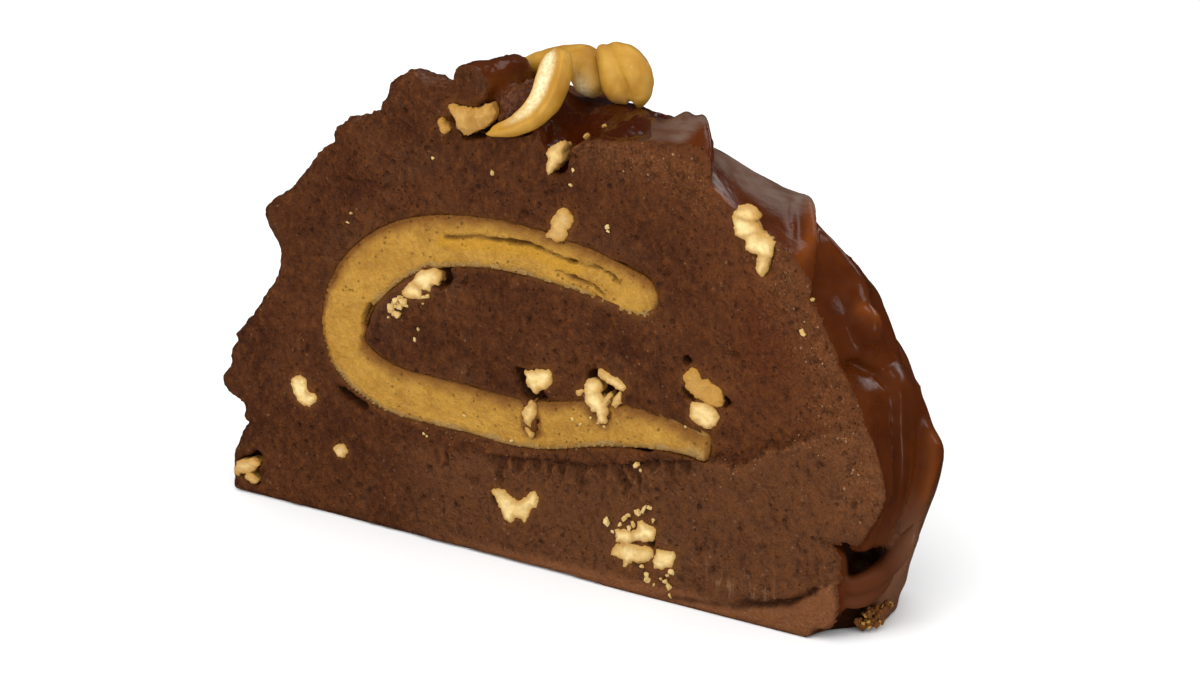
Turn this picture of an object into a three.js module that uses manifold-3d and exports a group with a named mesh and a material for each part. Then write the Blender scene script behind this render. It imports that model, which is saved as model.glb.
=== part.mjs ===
// A cut slice of a hand-shaped chocolate fudge loaf. A caramel ribbon is rolled through it, nut pieces show
// in both cut faces, and cashews are pressed into the craggy top.
// Millimetres. X runs along the cut faces, Y from the front cut face to the back, Z up from the flat base.
import * as THREE from "three";
import { mergeVertices } from "three/addons/utils/BufferGeometryUtils.js";
import Module from "manifold-3d";

const wasm = await Module();
wasm.setup();

// Driving sizes.
const sliceDepth = 24;
const gap = 0.3; // between pieces that touch
const weld = 0.004; // points nearer to each other than this are one
const nutDepth = 4.6; // how deep a nut piece sits in the cut face
const nutProud = 0.4; // how far it stands out of the face
const nutTrim = 0.5; // what the knife took off its front
const jagged = 0.18; // share of its size that a broken nut loses at its deepest chip
const cashewSeam = 0.09; // depth of the seam as a share of the cashew's width
const cashewTip = 0.6; // how far a cashew's ends stand past its middle line
const cashewPlump = 0.45; // lower makes a cashew's ends blunter

// How finely the loaf and the cashews are faceted.
const skinSteps = 120;
const baseSteps = 10;
const depthSteps = 12;
const frontRings = [0.16, 0.36, 0.55, 0.74, 0.9];
const backRings = [0.45];
const skinSamples = 600; // places along the outline where a fold may start or end
const cashewRings = 14;
const cashewSides = 12;

// The smooth loaf, as x and z from the left foot over the top to the right foot.
const loafOutline = [
  [-60.5, 0],
  [-60, 16],
  [-59.5, 25],
  [-53.5, 36],
  [-49.5, 47],
  [-41.5, 59.2],
  [-29, 69],
  [-12, 72.5],
  [4, 70.5],
  [20, 72],
  [31, 71.5],
  [34.5, 66.5],
  [42, 62.5],
  [49, 54.5],
  [54.5, 43],
  [60.5, 32],
  [62, 25.5],
  [57.5, 18],
  [54.5, 9],
  [50, 0],
];
const faceCentre = [0, 30];

// Folds and crags of the skin. Each runs between two places, given as x, z and depth behind the front face.
// It stands out, or is sunk where out is negative, and a steep one drops off sharply on its downhill side.
const folds = {
  leftSpike: { from: [-60, 19, 0], to: [-60, 22, 24], out: 2.5, wide: 2.8 },
  leftNotch: { from: [-60, 13.6, 0], to: [-60, 15, 15], out: -3.4, wide: 2.4 },
  leftBelly: { from: [-57, 30, 10], to: [-55, 34, 24], out: 1.7, wide: 5 },
  waistNotch: { from: [-51.5, 43, 0], to: [-53, 39, 24], out: -1.6, wide: 3.2 },
  leftTooth: { from: [-48, 50.5, 0], to: [-45.5, 54, 24], out: 3, wide: 3.8 },
  leftShoulder: { from: [-43, 58, 9], to: [-39, 61, 20], out: 1.8, wide: 6 },
  topNub: { from: [-35.5, 64, 0], to: [-34, 66, 4], out: 2.2, wide: 2.4 },
  topLump: { from: [-23.5, 71, 0], to: [-22, 71, 5], out: 5, wide: 3.8 },
  topRoll: { from: [-12, 73, 0], to: [-9.8, 73, 10], out: 7.2, wide: 4.3 },
  topMound: { from: [-4.6, 73, 5], to: [-2, 73, 8], out: 3.6, wide: 3.4 },
  crestDip: { from: [2.6, 71, 0], to: [4, 71, 2], out: -1.8, wide: 3.2 },
  topDome: { from: [2, 71, 12], to: [15, 72, 11], out: 2.9, wide: 6.5 },
  topRidge: { from: [28.5, 72, 3], to: [26, 72, 8], out: 2.6, wide: 3.6 },
  ridgeGutter: { from: [33.4, 69, 0], to: [29, 72, 20], out: -1.4, wide: 2.4 },
  flapPanel: { from: [41, 63, 8], to: [37, 65.5, 13], out: 1.2, wide: 7 },
  flapLip: { from: [49, 54.5, 0], to: [38, 65, 17], out: 1.7, wide: 4.5, steep: 0.6 },
  flapCrease: { from: [51, 51, 1], to: [43, 61.5, 20], out: -1.3, wide: 2.6 },
  middleLobe: { from: [53.5, 46, 10], to: [51, 50, 15], out: 3.2, wide: 7, steep: 0.8 },
  nutBump: { from: [54, 44.5, 8], to: [54, 45.5, 11], out: 1.7, wide: 3.2 },
  lobeCrease: { from: [56.5, 39.5, 6], to: [55.5, 41, 24], out: -0.9, wide: 2.2 },
  sideValley: { from: [58.5, 36, 5], to: [62, 25.5, 6], out: -1.4, wide: 2.8 },
  lowerLobe: { from: [58, 37, 14], to: [61.5, 28, 12], out: 1.5, wide: 5.5 },
  skirt: { from: [57, 15, 13], to: [50, 0, 13], out: 6.2, wide: 7.5 },
  skirtHollow: { from: [55, 11.5, 2], to: [55, 9, 6], out: -5, wide: 3.4 },
  backTop: { from: [22, 72, 27], to: [34, 68, 26], out: -5, wide: 11 },
  backShoulder: { from: [36, 66, 27], to: [55, 42, 28], out: -7, wide: 11.5 },
};
const foldEdge = 3; // higher makes flatter folds with steeper sides
const ripples = [
  { size: 0.45, along: 0.31, across: 0.22 },
  { size: 0.3, along: -0.62, across: 0.55 },
];

// Broad relief of the front cut face, between places given as x and z: a smooth lip along the base, a torn
// ledge on the right, a scooped crest, and the sunk corner beside the skirt's hollow.
const faceRelief = {
  baseLip: { from: [20, 1], to: [46, 2], out: 1.6, wide: 4.5 },
  tornLedge: { from: [34, 20], to: [54, 24], out: 0.9, wide: 6 },
  crestScoop: { from: [-15, 71], to: [4, 69], out: -0.9, wide: 3.5 },
  hollowCorner: { from: [55.5, 12], to: [55.5, 8], out: -2.4, wide: 3.2 },
};

// The back cut face, a little uneven: how far its waves stand out, and how quickly they follow each other.
const backWaves = { size: 0.3, along: 0.17, upward: 0.23 };

// The caramel ribbon's middle line in the cut face, from its upper tip round the bend to its thin lower end.
const ribbonLine = [
  [19.5, 48.4],
  [8, 51],
  [-9, 52],
  [-25, 48],
  [-35, 38.5],
  [-36, 29.5],
  [-29, 24.8],
  [-14, 24],
  [0, 23.8],
  [14, 26.8],
  [25, 27.2],
  [32, 26.2],
];
const ribbonThickness = [6, 6.9, 7.4, 8.4, 7.6, 7.2, 7, 6.4, 3]; // at even steps from the tip to the thin end
const ribbonSteps = 44;
const tipSteps = 6;

// Nut pieces in the front face. Each lump is x, z, length, height and turn in degrees.
const frontNuts = {
  nut_inner: [[-19.4, 44.2, 6.4, 4.2, 32], [-22.4, 41.8, 4.4, 3.2, 28]],
  nut_half_moon: [[-45.4, 21.8, 4.2, 3, 80], [-43.9, 19.2, 3.8, 3, -40]],
  nut_small: [[-37.6, 11.7, 3.3, 2.6, -10]],
  nut_foot: [[-57.5, 4.9, 4.2, 2.8, 8], [-55.5, 6.4, 2.8, 2.2, 50], [-56.2, 3.2, 3.2, 2.2, -35]],
  nut_heart: [[-4.8, 9.9, 6.4, 3.6, -62], [-1, 9.9, 6, 3.6, 72]],
  nut_blocks: [[18.9, 9.4, 7, 2.9, 4], [18.7, 6.6, 7.4, 3.9, -4]],
  nut_block: [[25, 7, 4.8, 3.8, -6]],
  nut_wedge: [[1.5, 32.2, 5.2, 3.2, 0], [1.6, 30.8, 3, 3, 45]],
  nut_spike: [[-0.2, 25.2, 2.8, 6, 8]],
  nut_stem: [[11.5, 32.2, 3.2, 3.6, 0], [12.6, 29.2, 3.6, 4.6, 15]],
  nut_sliver: [[15.6, 34.3, 5.4, 2, -36]],
  nut_toasted: [[29.3, 37.1, 3.8, 3.6, 50], [31.9, 35.8, 5.8, 3.6, -42]],
  nut_pale_block: [[31.5, 31.2, 5, 4.2, -16]],
  nut_stub: [[5.8, 57.6, 4.6, 5.4, -12]],
  nut_crest: [[4.9, 67.4, 3.4, 5.2, -12]],
  nut_shoulder: [
    [38, 63.6, 4.6, 4.2, -20],
    [39.6, 61.6, 4.4, 3.6, -45],
    [40.6, 59.4, 4.4, 3.6, 0],
    [41, 57, 2.6, 3.4, 10],
  ],
  nut_under_roll: [[-12.7, 71.2, 4.6, 5, 0], [-8.9, 71.8, 4.4, 4.8, 0]],
};

// Nut pieces in the back face, and the seeds that chip every nut piece differently.
const backNuts = {
  back_nut_low: [[-18, 11, 6, 4.4, 20]],
  back_nut_left: [[-43, 40, 4.6, 5, -30]],
  back_nut_top: [[13.4, 62, 5.6, 4, 35]],
  back_nut_side: [[44, 33, 4.4, 5.6, 10], [46, 30, 4, 3.6, -30]],
  back_nut_ribbon: [[6, 36, 5.2, 3.8, -15]],
  back_nut_foot: [[33, 10, 5, 4, 0]],
};

const nutSeeds = { first: 7, step: 31 };

// Cashews on the top, as the middle line's x, depth and z, the way the flat of the crescent faces, half sizes
// across and through the crescent, and how much of the facing half is left where the nut is split.
const cashews = {
  cashew_front: {
    line: [[-7.4, -0.8, 69.6], [-1.6, 1.3, 72.7], [0.9, 3.2, 76], [1.4, 5, 79.4], [0.6, 6, 81.4]],
    facing: [-0.07, -0.8, 0.59],
    across: 3.1,
    through: 3.2,
    facingShare: 0.1,
    tip: 0.5,
  },
  cashew_back: {
    line: [[-10, 14.2, 77], [-6.3, 14.2, 78.4], [-1.9, 14, 79.4], [1.4, 13.5, 78.2], [2.6, 12.4, 74.9]],
    facing: [0.5, -0.8, 0.3],
    across: 2.8,
    through: 3,
    facingShare: 0.75,
    tip: 0.7,
  },
  cashew_right: {
    line: [[5.4, 12.6, 79.6], [8.6, 12.4, 79.4], [11, 11.8, 77.3], [11.8, 10.8, 74.4]],
    facing: [0.62, -0.7, 0.36],
    across: 3.9,
    through: 3.6,
    facingShare: 1,
    tip: 0.8,
  },
};

const materials = {
  fudge: { color: 0x54301f, roughness: 0.5, metalness: 0 },
  caramel: { color: 0xc99446, roughness: 0.55, metalness: 0 },
  nut: { color: 0xead092, roughness: 0.7, metalness: 0 },
  cashew: { color: 0xd8a24a, roughness: 0.55, metalness: 0 },
};

// A seeded random number from 0 to 1.
function seededRandom(seed) {
  let state = seed;
  return () => {
    state = (state * 1664525 + 1013904223) % 4294967296;
    return state / 4294967296;
  };
}

function toSolid(geometry) {
  geometry.deleteAttribute("normal");
  geometry.deleteAttribute("uv");
  const merged = mergeVertices(geometry);
  const mesh = new wasm.Mesh({
    numProp: 3,
    vertProperties: Float32Array.from(merged.attributes.position.array),
    triVerts: Uint32Array.from(merged.index.array),
  });
  return new wasm.Manifold(mesh);
}

// The solid's surface, with points nearer to each other than the weld made one and no empty facet left.
function toGeometry(solid) {
  const mesh = solid.getMesh();
  const surface = new THREE.BufferGeometry();
  surface.setAttribute("position", new THREE.BufferAttribute(mesh.vertProperties, 3));
  surface.setIndex(new THREE.BufferAttribute(mesh.triVerts, 1));
  const geometry = mergeVertices(surface, weld);
  const corners = geometry.index.array;
  const kept = [];
  for (let i = 0; i < corners.length; i += 3) {
    const [a, b, c] = corners.slice(i, i + 3);
    if (a !== b && b !== c && c !== a) {
      kept.push(a, b, c);
    }
  }
  geometry.setIndex(kept);
  geometry.computeVertexNormals();
  return geometry;
}

// A closed skin over rings of equally many points, with a point at each end.
function skinOverRings(rings, firstPole, lastPole) {
  const count = rings[0].length;
  const points = [...rings.flat(), firstPole, lastPole];
  const firstIndex = points.length - 2;
  const lastIndex = points.length - 1;
  const lastRing = (rings.length - 1) * count;
  const index = [];
  for (let i = 0; i < count; i += 1) {
    const next = (i + 1) % count;
    index.push(firstIndex, next, i);
    index.push(lastIndex, lastRing + i, lastRing + next);
    for (let start = 0; start < lastRing; start += count) {
      index.push(start + i, start + next, start + count + next);
      index.push(start + i, start + count + next, start + count + i);
    }
  }
  const geometry = new THREE.BufferGeometry().setFromPoints(points);
  geometry.setIndex(index);
  return geometry;
}

// How strongly a fold is felt at a place: 1 on its line, fading to 0 about its width away.
function foldStrength(place, fold) {
  const run = fold.end.clone().sub(fold.start);
  const offset = place.clone().sub(fold.start);
  const share = THREE.MathUtils.clamp(offset.dot(run) / Math.max(run.lengthSq(), 1e-9), 0, 1);
  const away = offset.clone().addScaledVector(run, -share);
  const width = away.x > 0 && fold.steep ? fold.wide * fold.steep : fold.wide;
  return Math.exp(-((away.length() / width) ** foldEdge));
}

const loafCurve = new THREE.CatmullRomCurve3(
  loafOutline.map(([x, z]) => new THREE.Vector3(x, 0, z)),
  false,
  "centripetal",
);
loafCurve.arcLengthDivisions = skinSamples;
const skinLength = loafCurve.getLength();
const skinPlaces = loafCurve.getSpacedPoints(skinSamples);

// The distance along the loaf's outline of its point nearest to x and z.
function alongSkin(x, z) {
  const distances = skinPlaces.map((place) => Math.hypot(place.x - x, place.z - z));
  return (distances.indexOf(Math.min(...distances)) / skinSamples) * skinLength;
}

const skinFolds = Object.values(folds).map((fold) => ({
  ...fold,
  start: new THREE.Vector2(alongSkin(fold.from[0], fold.from[1]), fold.from[2]),
  end: new THREE.Vector2(alongSkin(fold.to[0], fold.to[1]), fold.to[2]),
}));
const faceFolds = Object.values(faceRelief).map((fold) => ({
  ...fold,
  start: new THREE.Vector2(...fold.from),
  end: new THREE.Vector2(...fold.to),
}));

function skinRelief(along, depth) {
  const place = new THREE.Vector2(along, depth);
  const raised = skinFolds.reduce((sum, fold) => sum + fold.out * foldStrength(place, fold), 0);
  return ripples.reduce((sum, r) => sum + r.size * Math.sin(along * r.along + depth * r.across), raised);
}

function frontRelief(x, z) {
  const place = new THREE.Vector2(x, z);
  return faceFolds.reduce((sum, fold) => sum + fold.out * foldStrength(place, fold), 0);
}

function backRelief(x, z) {
  return backWaves.size * Math.sin(x * backWaves.along) * Math.sin(z * backWaves.upward);
}

function skinPoint(along, depth) {
  const share = along / skinLength;
  const point = loafCurve.getPointAt(share);
  const tangent = loafCurve.getTangentAt(share);
  const out = skinRelief(along, depth);
  point.x -= tangent.z * out;
  point.z = Math.max(0, point.z + tangent.x * out);
  return point;
}

// One ring round the slice at a depth: over the skin from foot to foot, and back along the base.
function sliceRing(depth) {
  const ring = [];
  for (let i = 0; i <= skinSteps; i += 1) {
    ring.push(skinPoint((i / skinSteps) * skinLength, depth));
  }
  const leftFoot = ring[0];
  const rightFoot = ring[skinSteps];
  for (let i = 1; i < baseSteps; i += 1) {
    ring.push(rightFoot.clone().lerp(leftFoot, i / baseSteps));
  }
  const back = depth / sliceDepth;
  for (const point of ring) {
    point.y = depth + back * backRelief(point.x, point.z) - (1 - back) * frontRelief(point.x, point.z);
  }
  return ring;
}

// A rim drawn in towards the middle of the cut face, to make one of the rings that fill the face.
function drawnIn(rim, share, depth, relief) {
  const [middleX, middleZ] = faceCentre;
  return rim.map((point) => {
    const x = middleX + (point.x - middleX) * share;
    const z = middleZ + (point.z - middleZ) * share;
    return new THREE.Vector3(x, depth + relief(x, z), z);
  });
}

function makeLoaf() {
  const around = [];
  for (let i = 0; i <= depthSteps; i += 1) {
    around.push(sliceRing((i / depthSteps) * sliceDepth));
  }
  const sunkFront = (x, z) => -frontRelief(x, z);
  const front = frontRings.map((share) => drawnIn(around[0], share, 0, sunkFront));
  const back = backRings.map((share) => drawnIn(around[depthSteps], share, sliceDepth, backRelief));
  const rings = [...front, ...around, ...back.reverse()];
  const [middleX, middleZ] = faceCentre;
  const frontMiddle = new THREE.Vector3(middleX, -frontRelief(middleX, middleZ), middleZ);
  const backMiddle = new THREE.Vector3(middleX, sliceDepth + backRelief(middleX, middleZ), middleZ);
  return toSolid(skinOverRings(rings, frontMiddle, backMiddle));
}

// The ribbon's thickness at a share of its length.
function thicknessAt(share) {
  const place = share * (ribbonThickness.length - 1);
  const step = Math.min(Math.floor(place), ribbonThickness.length - 2);
  return THREE.MathUtils.lerp(ribbonThickness[step], ribbonThickness[step + 1], place - step);
}

// The ribbon, or the channel for it where it is grown: an outline with a round tip, drawn through the slice.
function makeRibbon(grow) {
  const line = new THREE.CatmullRomCurve3(
    ribbonLine.map(([x, z]) => new THREE.Vector3(x, z, 0)),
    false,
    "centripetal",
  );
  const over = [];
  const under = [];
  for (let i = 0; i <= ribbonSteps; i += 1) {
    const share = i / ribbonSteps;
    const point = line.getPointAt(share);
    const tangent = line.getTangentAt(share);
    const half = thicknessAt(share) / 2 + grow;
    const atEnd = i === ribbonSteps ? grow : 0;
    const x = point.x + tangent.x * atEnd;
    const z = point.y + tangent.y * atEnd;
    over.push(new THREE.Vector2(x + tangent.y * half, z - tangent.x * half));
    under.push(new THREE.Vector2(x - tangent.y * half, z + tangent.x * half));
  }
  const tipMiddle = over[0].clone().lerp(under[0], 0.5);
  const tip = [];
  for (let i = 1; i < tipSteps; i += 1) {
    tip.push(under[0].clone().rotateAround(tipMiddle, (i / tipSteps) * Math.PI));
  }
  const past = 5; // it is drawn past both faces, then trimmed to the loaf
  const geometry = new THREE.ExtrudeGeometry(new THREE.Shape([...over, ...under.reverse(), ...tip]), {
    depth: sliceDepth + 2 * past,
    steps: 1,
    bevelEnabled: false,
  });
  geometry.rotateX(Math.PI / 2);
  geometry.translate(0, sliceDepth + past, 0);
  return toSolid(geometry);
}

// One broken lump of nut: a blocky ball with chipped corners.
function makeLump([x, z, length, height, turn], depth, grow, seed) {
  const random = seededRandom(seed);
  const ball = new THREE.DodecahedronGeometry(1);
  ball.deleteAttribute("normal");
  ball.deleteAttribute("uv");
  const geometry = mergeVertices(ball, 1e-4);
  const position = geometry.attributes.position;
  const whole = 1 / (1 - jagged / 2); // the chips take off half of the deepest one on average
  const half = new THREE.Vector3(length, nutDepth, height).multiplyScalar(whole / 2).addScalar(grow);
  for (let i = 0; i < position.count; i += 1) {
    const way = new THREE.Vector3().fromBufferAttribute(position, i).normalize();
    const blocky = (way.x ** 4 + way.y ** 4 + way.z ** 4) ** -0.25;
    way.multiplyScalar(blocky * (1 - jagged * random())).multiply(half);
    position.setXYZ(i, way.x, way.y, way.z);
  }
  geometry.rotateY(THREE.MathUtils.degToRad(-turn));
  geometry.translate(x, depth, z);
  return toSolid(geometry);
}

// A nut piece: its lumps joined, and cut off just proud of the face that it shows in.
function makeNut(lumps, depth, grow, seed) {
  const joined = lumps
    .map((lump, i) => makeLump(lump, depth, grow, seed + i))
    .reduce((all, lump) => all.add(lump));
  const reach = 400;
  const keep = new THREE.BoxGeometry(reach, sliceDepth + 2 * (nutProud + grow), reach);
  keep.translate(0, sliceDepth / 2, 0);
  return joined.intersect(toSolid(keep));
}

// A cashew: an oval swept along a bent middle line, thinner at its first tip, with a seam round its edge.
function makeCashew({ line, facing, across, through, facingShare, tip }, grow) {
  const curve = new THREE.CatmullRomCurve3(line.map((p) => new THREE.Vector3(...p)));
  const face = new THREE.Vector3(...facing).normalize();
  const rings = [];
  for (let i = 1; i < cashewRings; i += 1) {
    const share = i / cashewRings;
    const middle = curve.getPointAt(share);
    const side = new THREE.Vector3().crossVectors(face, curve.getTangentAt(share)).normalize();
    const taper = THREE.MathUtils.lerp(tip, 1, THREE.MathUtils.smoothstep(share, 0, 0.7));
    const fullness = Math.sin(Math.PI * share) ** cashewPlump * taper;
    const ring = [];
    for (let k = 0; k < cashewSides; k += 1) {
      const angle = (k / cashewSides) * 2 * Math.PI;
      const seam = 1 - cashewSeam * Math.abs(Math.cos(angle)) ** 8;
      const depthShare = Math.sin(angle) > 0 ? facingShare : 1;
      const sideways = (across * fullness * seam + grow) * Math.cos(angle);
      const facewards = (through * fullness * depthShare + grow) * Math.sin(angle);
      ring.push(middle.clone().addScaledVector(side, sideways).addScaledVector(face, facewards));
    }
    rings.push(ring);
  }
  const first = curve.getPointAt(0).addScaledVector(curve.getTangentAt(0), -cashewTip - grow);
  const last = curve.getPointAt(1).addScaledVector(curve.getTangentAt(1), cashewTip + grow);
  return toSolid(skinOverRings(rings, first, last));
}

function addPiece(group, name, solid, material) {
  const mesh = new THREE.Mesh(toGeometry(solid), new THREE.MeshStandardMaterial(material));
  mesh.name = name;
  group.add(mesh);
}

// The largest body of a solid, without the slivers that the cuts leave loose.
function withoutSlivers(solid) {
  return solid.decompose().reduce((best, body) => (body.volume() > best.volume() ? body : best));
}

function makeSlice() {
  const loaf = makeLoaf();
  const group = new THREE.Group();
  let fudge = loaf.subtract(makeRibbon(gap));
  let ribbon = loaf.intersect(makeRibbon(0));

  let seats = null; // the cashews so far, each with room round it
  for (const [name, cashew] of Object.entries(cashews)) {
    const seat = makeCashew(cashew, gap);
    const solid = makeCashew(cashew, 0);
    addPiece(group, name, seats ? solid.subtract(seats) : solid, materials.cashew);
    seats = seats ? seats.add(seat) : seat;
  }
  fudge = fudge.subtract(seats);

  const sunk = nutDepth / 2 - nutProud - nutTrim;
  for (const [nuts, depth] of [[frontNuts, sunk], [backNuts, sliceDepth - sunk]]) {
    Object.entries(nuts).forEach(([name, lumps], i) => {
      const seed = nutSeeds.first + nutSeeds.step * i;
      const pocket = makeNut(lumps, depth, gap, seed);
      fudge = fudge.subtract(pocket);
      ribbon = ribbon.subtract(pocket);
      addPiece(group, name, makeNut(lumps, depth, 0, seed).subtract(seats), materials.nut);
    });
  }

  addPiece(group, "caramel_ribbon", withoutSlivers(ribbon), materials.caramel);
  addPiece(group, "fudge", withoutSlivers(fudge), materials.fudge);
  return group;
}

const slice = makeSlice();
const bounds = new THREE.Box3().setFromObject(slice);
const middle = bounds.getCenter(new THREE.Vector3());
slice.position.set(-middle.x, -middle.y, -bounds.min.z);

export default slice;
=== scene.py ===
import math
import random

import bpy
import numpy as np
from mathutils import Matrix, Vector
from mathutils.bvhtree import BVHTree
from mathutils.kdtree import KDTree


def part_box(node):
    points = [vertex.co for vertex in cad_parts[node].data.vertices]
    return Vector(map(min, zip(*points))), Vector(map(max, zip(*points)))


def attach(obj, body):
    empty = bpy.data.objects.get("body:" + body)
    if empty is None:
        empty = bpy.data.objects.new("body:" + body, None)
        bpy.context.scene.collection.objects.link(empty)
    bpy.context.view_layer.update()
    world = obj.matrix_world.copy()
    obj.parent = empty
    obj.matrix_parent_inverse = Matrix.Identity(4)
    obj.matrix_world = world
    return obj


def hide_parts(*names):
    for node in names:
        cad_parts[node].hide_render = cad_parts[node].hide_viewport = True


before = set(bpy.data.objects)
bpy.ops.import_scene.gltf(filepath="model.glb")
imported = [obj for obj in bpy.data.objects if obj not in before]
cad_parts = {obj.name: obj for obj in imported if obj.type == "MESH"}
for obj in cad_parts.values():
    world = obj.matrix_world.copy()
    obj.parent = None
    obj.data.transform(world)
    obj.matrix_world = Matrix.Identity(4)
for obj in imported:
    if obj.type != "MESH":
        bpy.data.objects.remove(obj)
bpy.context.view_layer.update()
mm = 0.001
frontDepth = -11.41  # where the front cut lies
backDepth = 12.59
hubHeight = 30  # turns round the cut faces are measured from here, above the middle of the base
print("frame loaded with", len(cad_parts), "solids")


# small helpers for picking, copying and finishing pieces
def pick(piece):
    bpy.ops.object.select_all(action="DESELECT")
    piece.select_set(True)
    bpy.context.view_layer.objects.active = piece


def applyModifier(piece, kind, **settings):
    pick(piece)
    modifier = piece.modifiers.new(kind.lower(), kind)
    for name, value in settings.items():
        setattr(modifier, name, value)
    bpy.ops.object.modifier_apply(modifier=modifier.name)


def onWholeMesh(operator, **settings):  # a mesh operator run on all of the active piece
    bpy.ops.object.mode_set(mode="EDIT")
    bpy.ops.mesh.select_all(action="SELECT")
    operator(**settings)
    bpy.ops.object.mode_set(mode="OBJECT")


def copySolid(nodeName, pieceName):  # a copy to work on, its corners merged
    pick(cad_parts[nodeName])
    bpy.ops.object.duplicate()
    piece = bpy.context.active_object
    piece.parent = None
    for key in list(piece.keys()):
        del piece[key]
    namePiece(piece, pieceName)
    piece.data.materials.clear()
    bpy.ops.mesh.customdata_custom_splitnormals_clear()
    onWholeMesh(bpy.ops.mesh.remove_doubles, threshold=0.00001)
    return piece


def namePiece(piece, name):
    piece.name = name
    piece.data.name = name


def joinInto(piece, others):
    pick(piece)
    for other in others:
        other.select_set(True)
    if others:
        bpy.ops.object.join()


def readVertices(piece, name):
    flat = np.empty(len(piece.data.vertices) * 3)
    piece.data.vertices.foreach_get(name, flat)
    return flat.reshape(-1, 3)


def placesOf(piece):  # in millimetres
    return readVertices(piece, "co") / mm


def setPlaces(piece, places):
    piece.data.vertices.foreach_set("co", (places * mm).ravel())
    piece.data.update()


def normalsOf(piece):
    return readVertices(piece, "normal")


def spread(piece, values, rounds):  # blurs values over neighbouring vertices
    pairs = np.empty(len(piece.data.edges) * 2, dtype=np.int64)
    piece.data.edges.foreach_get("vertices", pairs)
    pairs = pairs.reshape(-1, 2)
    count = len(piece.data.vertices)
    ends = np.concatenate([pairs[:, 0], pairs[:, 1]])
    others = np.concatenate([pairs[:, 1], pairs[:, 0]])
    neighbours = np.bincount(ends, minlength=count)
    for _ in range(rounds):
        values = (values + np.bincount(ends, values[others], count)) / (1 + neighbours)
    return values


def setGroup(piece, name, weights):
    levels = 16  # weights are rounded to this many steps
    group = piece.vertex_groups.new(name=name)
    steps = np.round(np.clip(weights, 0, 1) * levels).astype(int)
    for step in range(1, levels + 1):
        chosen = np.nonzero(steps == step)[0].tolist()
        if chosen:
            group.add(chosen, step / levels, "REPLACE")


def setMask(piece, name, values):  # a value per vertex that the material reads
    old = piece.data.attributes.get(name)
    if old:
        piece.data.attributes.remove(old)
    layer = piece.data.attributes.new(name, "FLOAT", "POINT")
    layer.data.foreach_set("value", np.asarray(values, np.float32))


def readMask(piece, name):
    values = np.empty(len(piece.data.vertices), dtype=np.float32)
    piece.data.attributes[name].data.foreach_get("value", values)
    return values


def ramp(values, low, high):  # smooth step from 0 at low to 1 at high
    share = np.clip((values - low) / (high - low), 0, 1)
    return share * share * (3 - 2 * share)


def band(values, start, full, fullEnd, end):  # 1 between the two inner values, fading to 0 at the outer ones
    return ramp(values, start, full) * ramp(values, end, fullEnd)


def bell(values, width, power=2):  # 1 at 0, fading out over the width
    return np.exp(-((values / width) ** power))


def ovalMask(places, middle, half, power=1):  # 1 in the middle of an oval, fading out past its half sizes
    return np.exp(-((((places - middle) / half) ** 2).sum(1) ** power))


def displace(piece, texture, strength, group=""):
    applyModifier(
        piece, "DISPLACE", texture=texture, texture_coords="LOCAL", strength=strength * mm, vertex_group=group
    )


def swell(piece, amount, group=""):
    applyModifier(piece, "DISPLACE", strength=amount * mm, mid_level=0.0, vertex_group=group)


def evenOut(piece, rounds, group=""):
    applyModifier(piece, "SMOOTH", factor=0.5, iterations=rounds, vertex_group=group)


def remesh(piece, size):
    applyModifier(piece, "REMESH", mode="VOXEL", voxel_size=size * mm, use_smooth_shade=True)


def cloudTexture(name, size, depth=2, basis="BLENDER_ORIGINAL", hard=False):
    texture = bpy.data.textures.new(name, "CLOUDS")
    texture.noise_scale = size * mm
    texture.noise_depth = depth
    texture.noise_basis = basis
    texture.noise_type = "HARD_NOISE" if hard else "SOFT_NOISE"
    return texture


def thinPiece(piece, most, hidden):  # fewer triangles, most of all where nothing of them shows
    setGroup(piece, "hidden", hidden)
    kept = 1 - 0.92 * (hidden > 0.9).mean()  # nearly all of what is hidden goes
    applyModifier(piece, "TRIANGULATE")
    start = len(piece.data.polygons)
    applyModifier(piece, "DECIMATE", ratio=kept, vertex_group="hidden", vertex_group_factor=1.0)
    ratio = min(1.0, most / len(piece.data.polygons))
    if ratio < 1:
        applyModifier(piece, "DECIMATE", ratio=ratio)
    applyModifier(piece, "TRIANGULATE")
    print(piece.name, "has", len(piece.data.polygons), "triangles of", start)


def finishPiece(piece, slotName, nodes, *materials):
    for material in materials:
        piece.data.materials.append(material)
    pick(piece)
    if "crumb" in piece.name:
        bpy.ops.object.shade_flat()
    else:
        bpy.ops.object.shade_smooth()
    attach(piece, "root")
    if nodes:
        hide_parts(*nodes)


# camera, floor and light
shot = {
    "target": (12.21, -11.41, 40.66),
    "azimuth": 33.0,
    "elevation": 19.09,
    "distance": 506.0,
    "lens": 100.0,
    "sensor": 36.0,
    "nearest": 0.01,
}
lamps = {
    "overhead": {
        "at": (0.10, -0.50, 0.80), "aim": (0, 0, 0.03), "size": (0.9, 0.8), "watts": 5.0, "gloss": False,
    },
    "frontFill": {
        "at": (-0.45, -0.90, 0.40), "aim": (0, 0, 0.04), "size": (0.8, 0.6), "watts": 4.0, "gloss": False,
    },
    "sideFill": {
        "at": (0.95, -0.20, 0.45), "aim": (0, 0, 0.04), "size": (0.5, 0.5), "watts": 2.0, "gloss": False,
    },
    "topPanel": {
        "at": (0.02, 0.45, 0.95), "aim": (0.02, 0, 0.06), "size": (0.60, 0.30), "watts": 0.75,
        "gloss": True,
    },
    "backPanel": {
        "at": (0.22, 0.98, 0.46), "aim": (0, 0, 0.05), "size": (0.60, 0.16), "watts": 0.5, "gloss": True,
    },
    "sideStrip": {
        "at": (1.00, 0.25, 0.16), "aim": (0, 0, 0.04), "size": (0.25, 0.30), "watts": 0.4, "gloss": True,
    },
}
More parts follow.
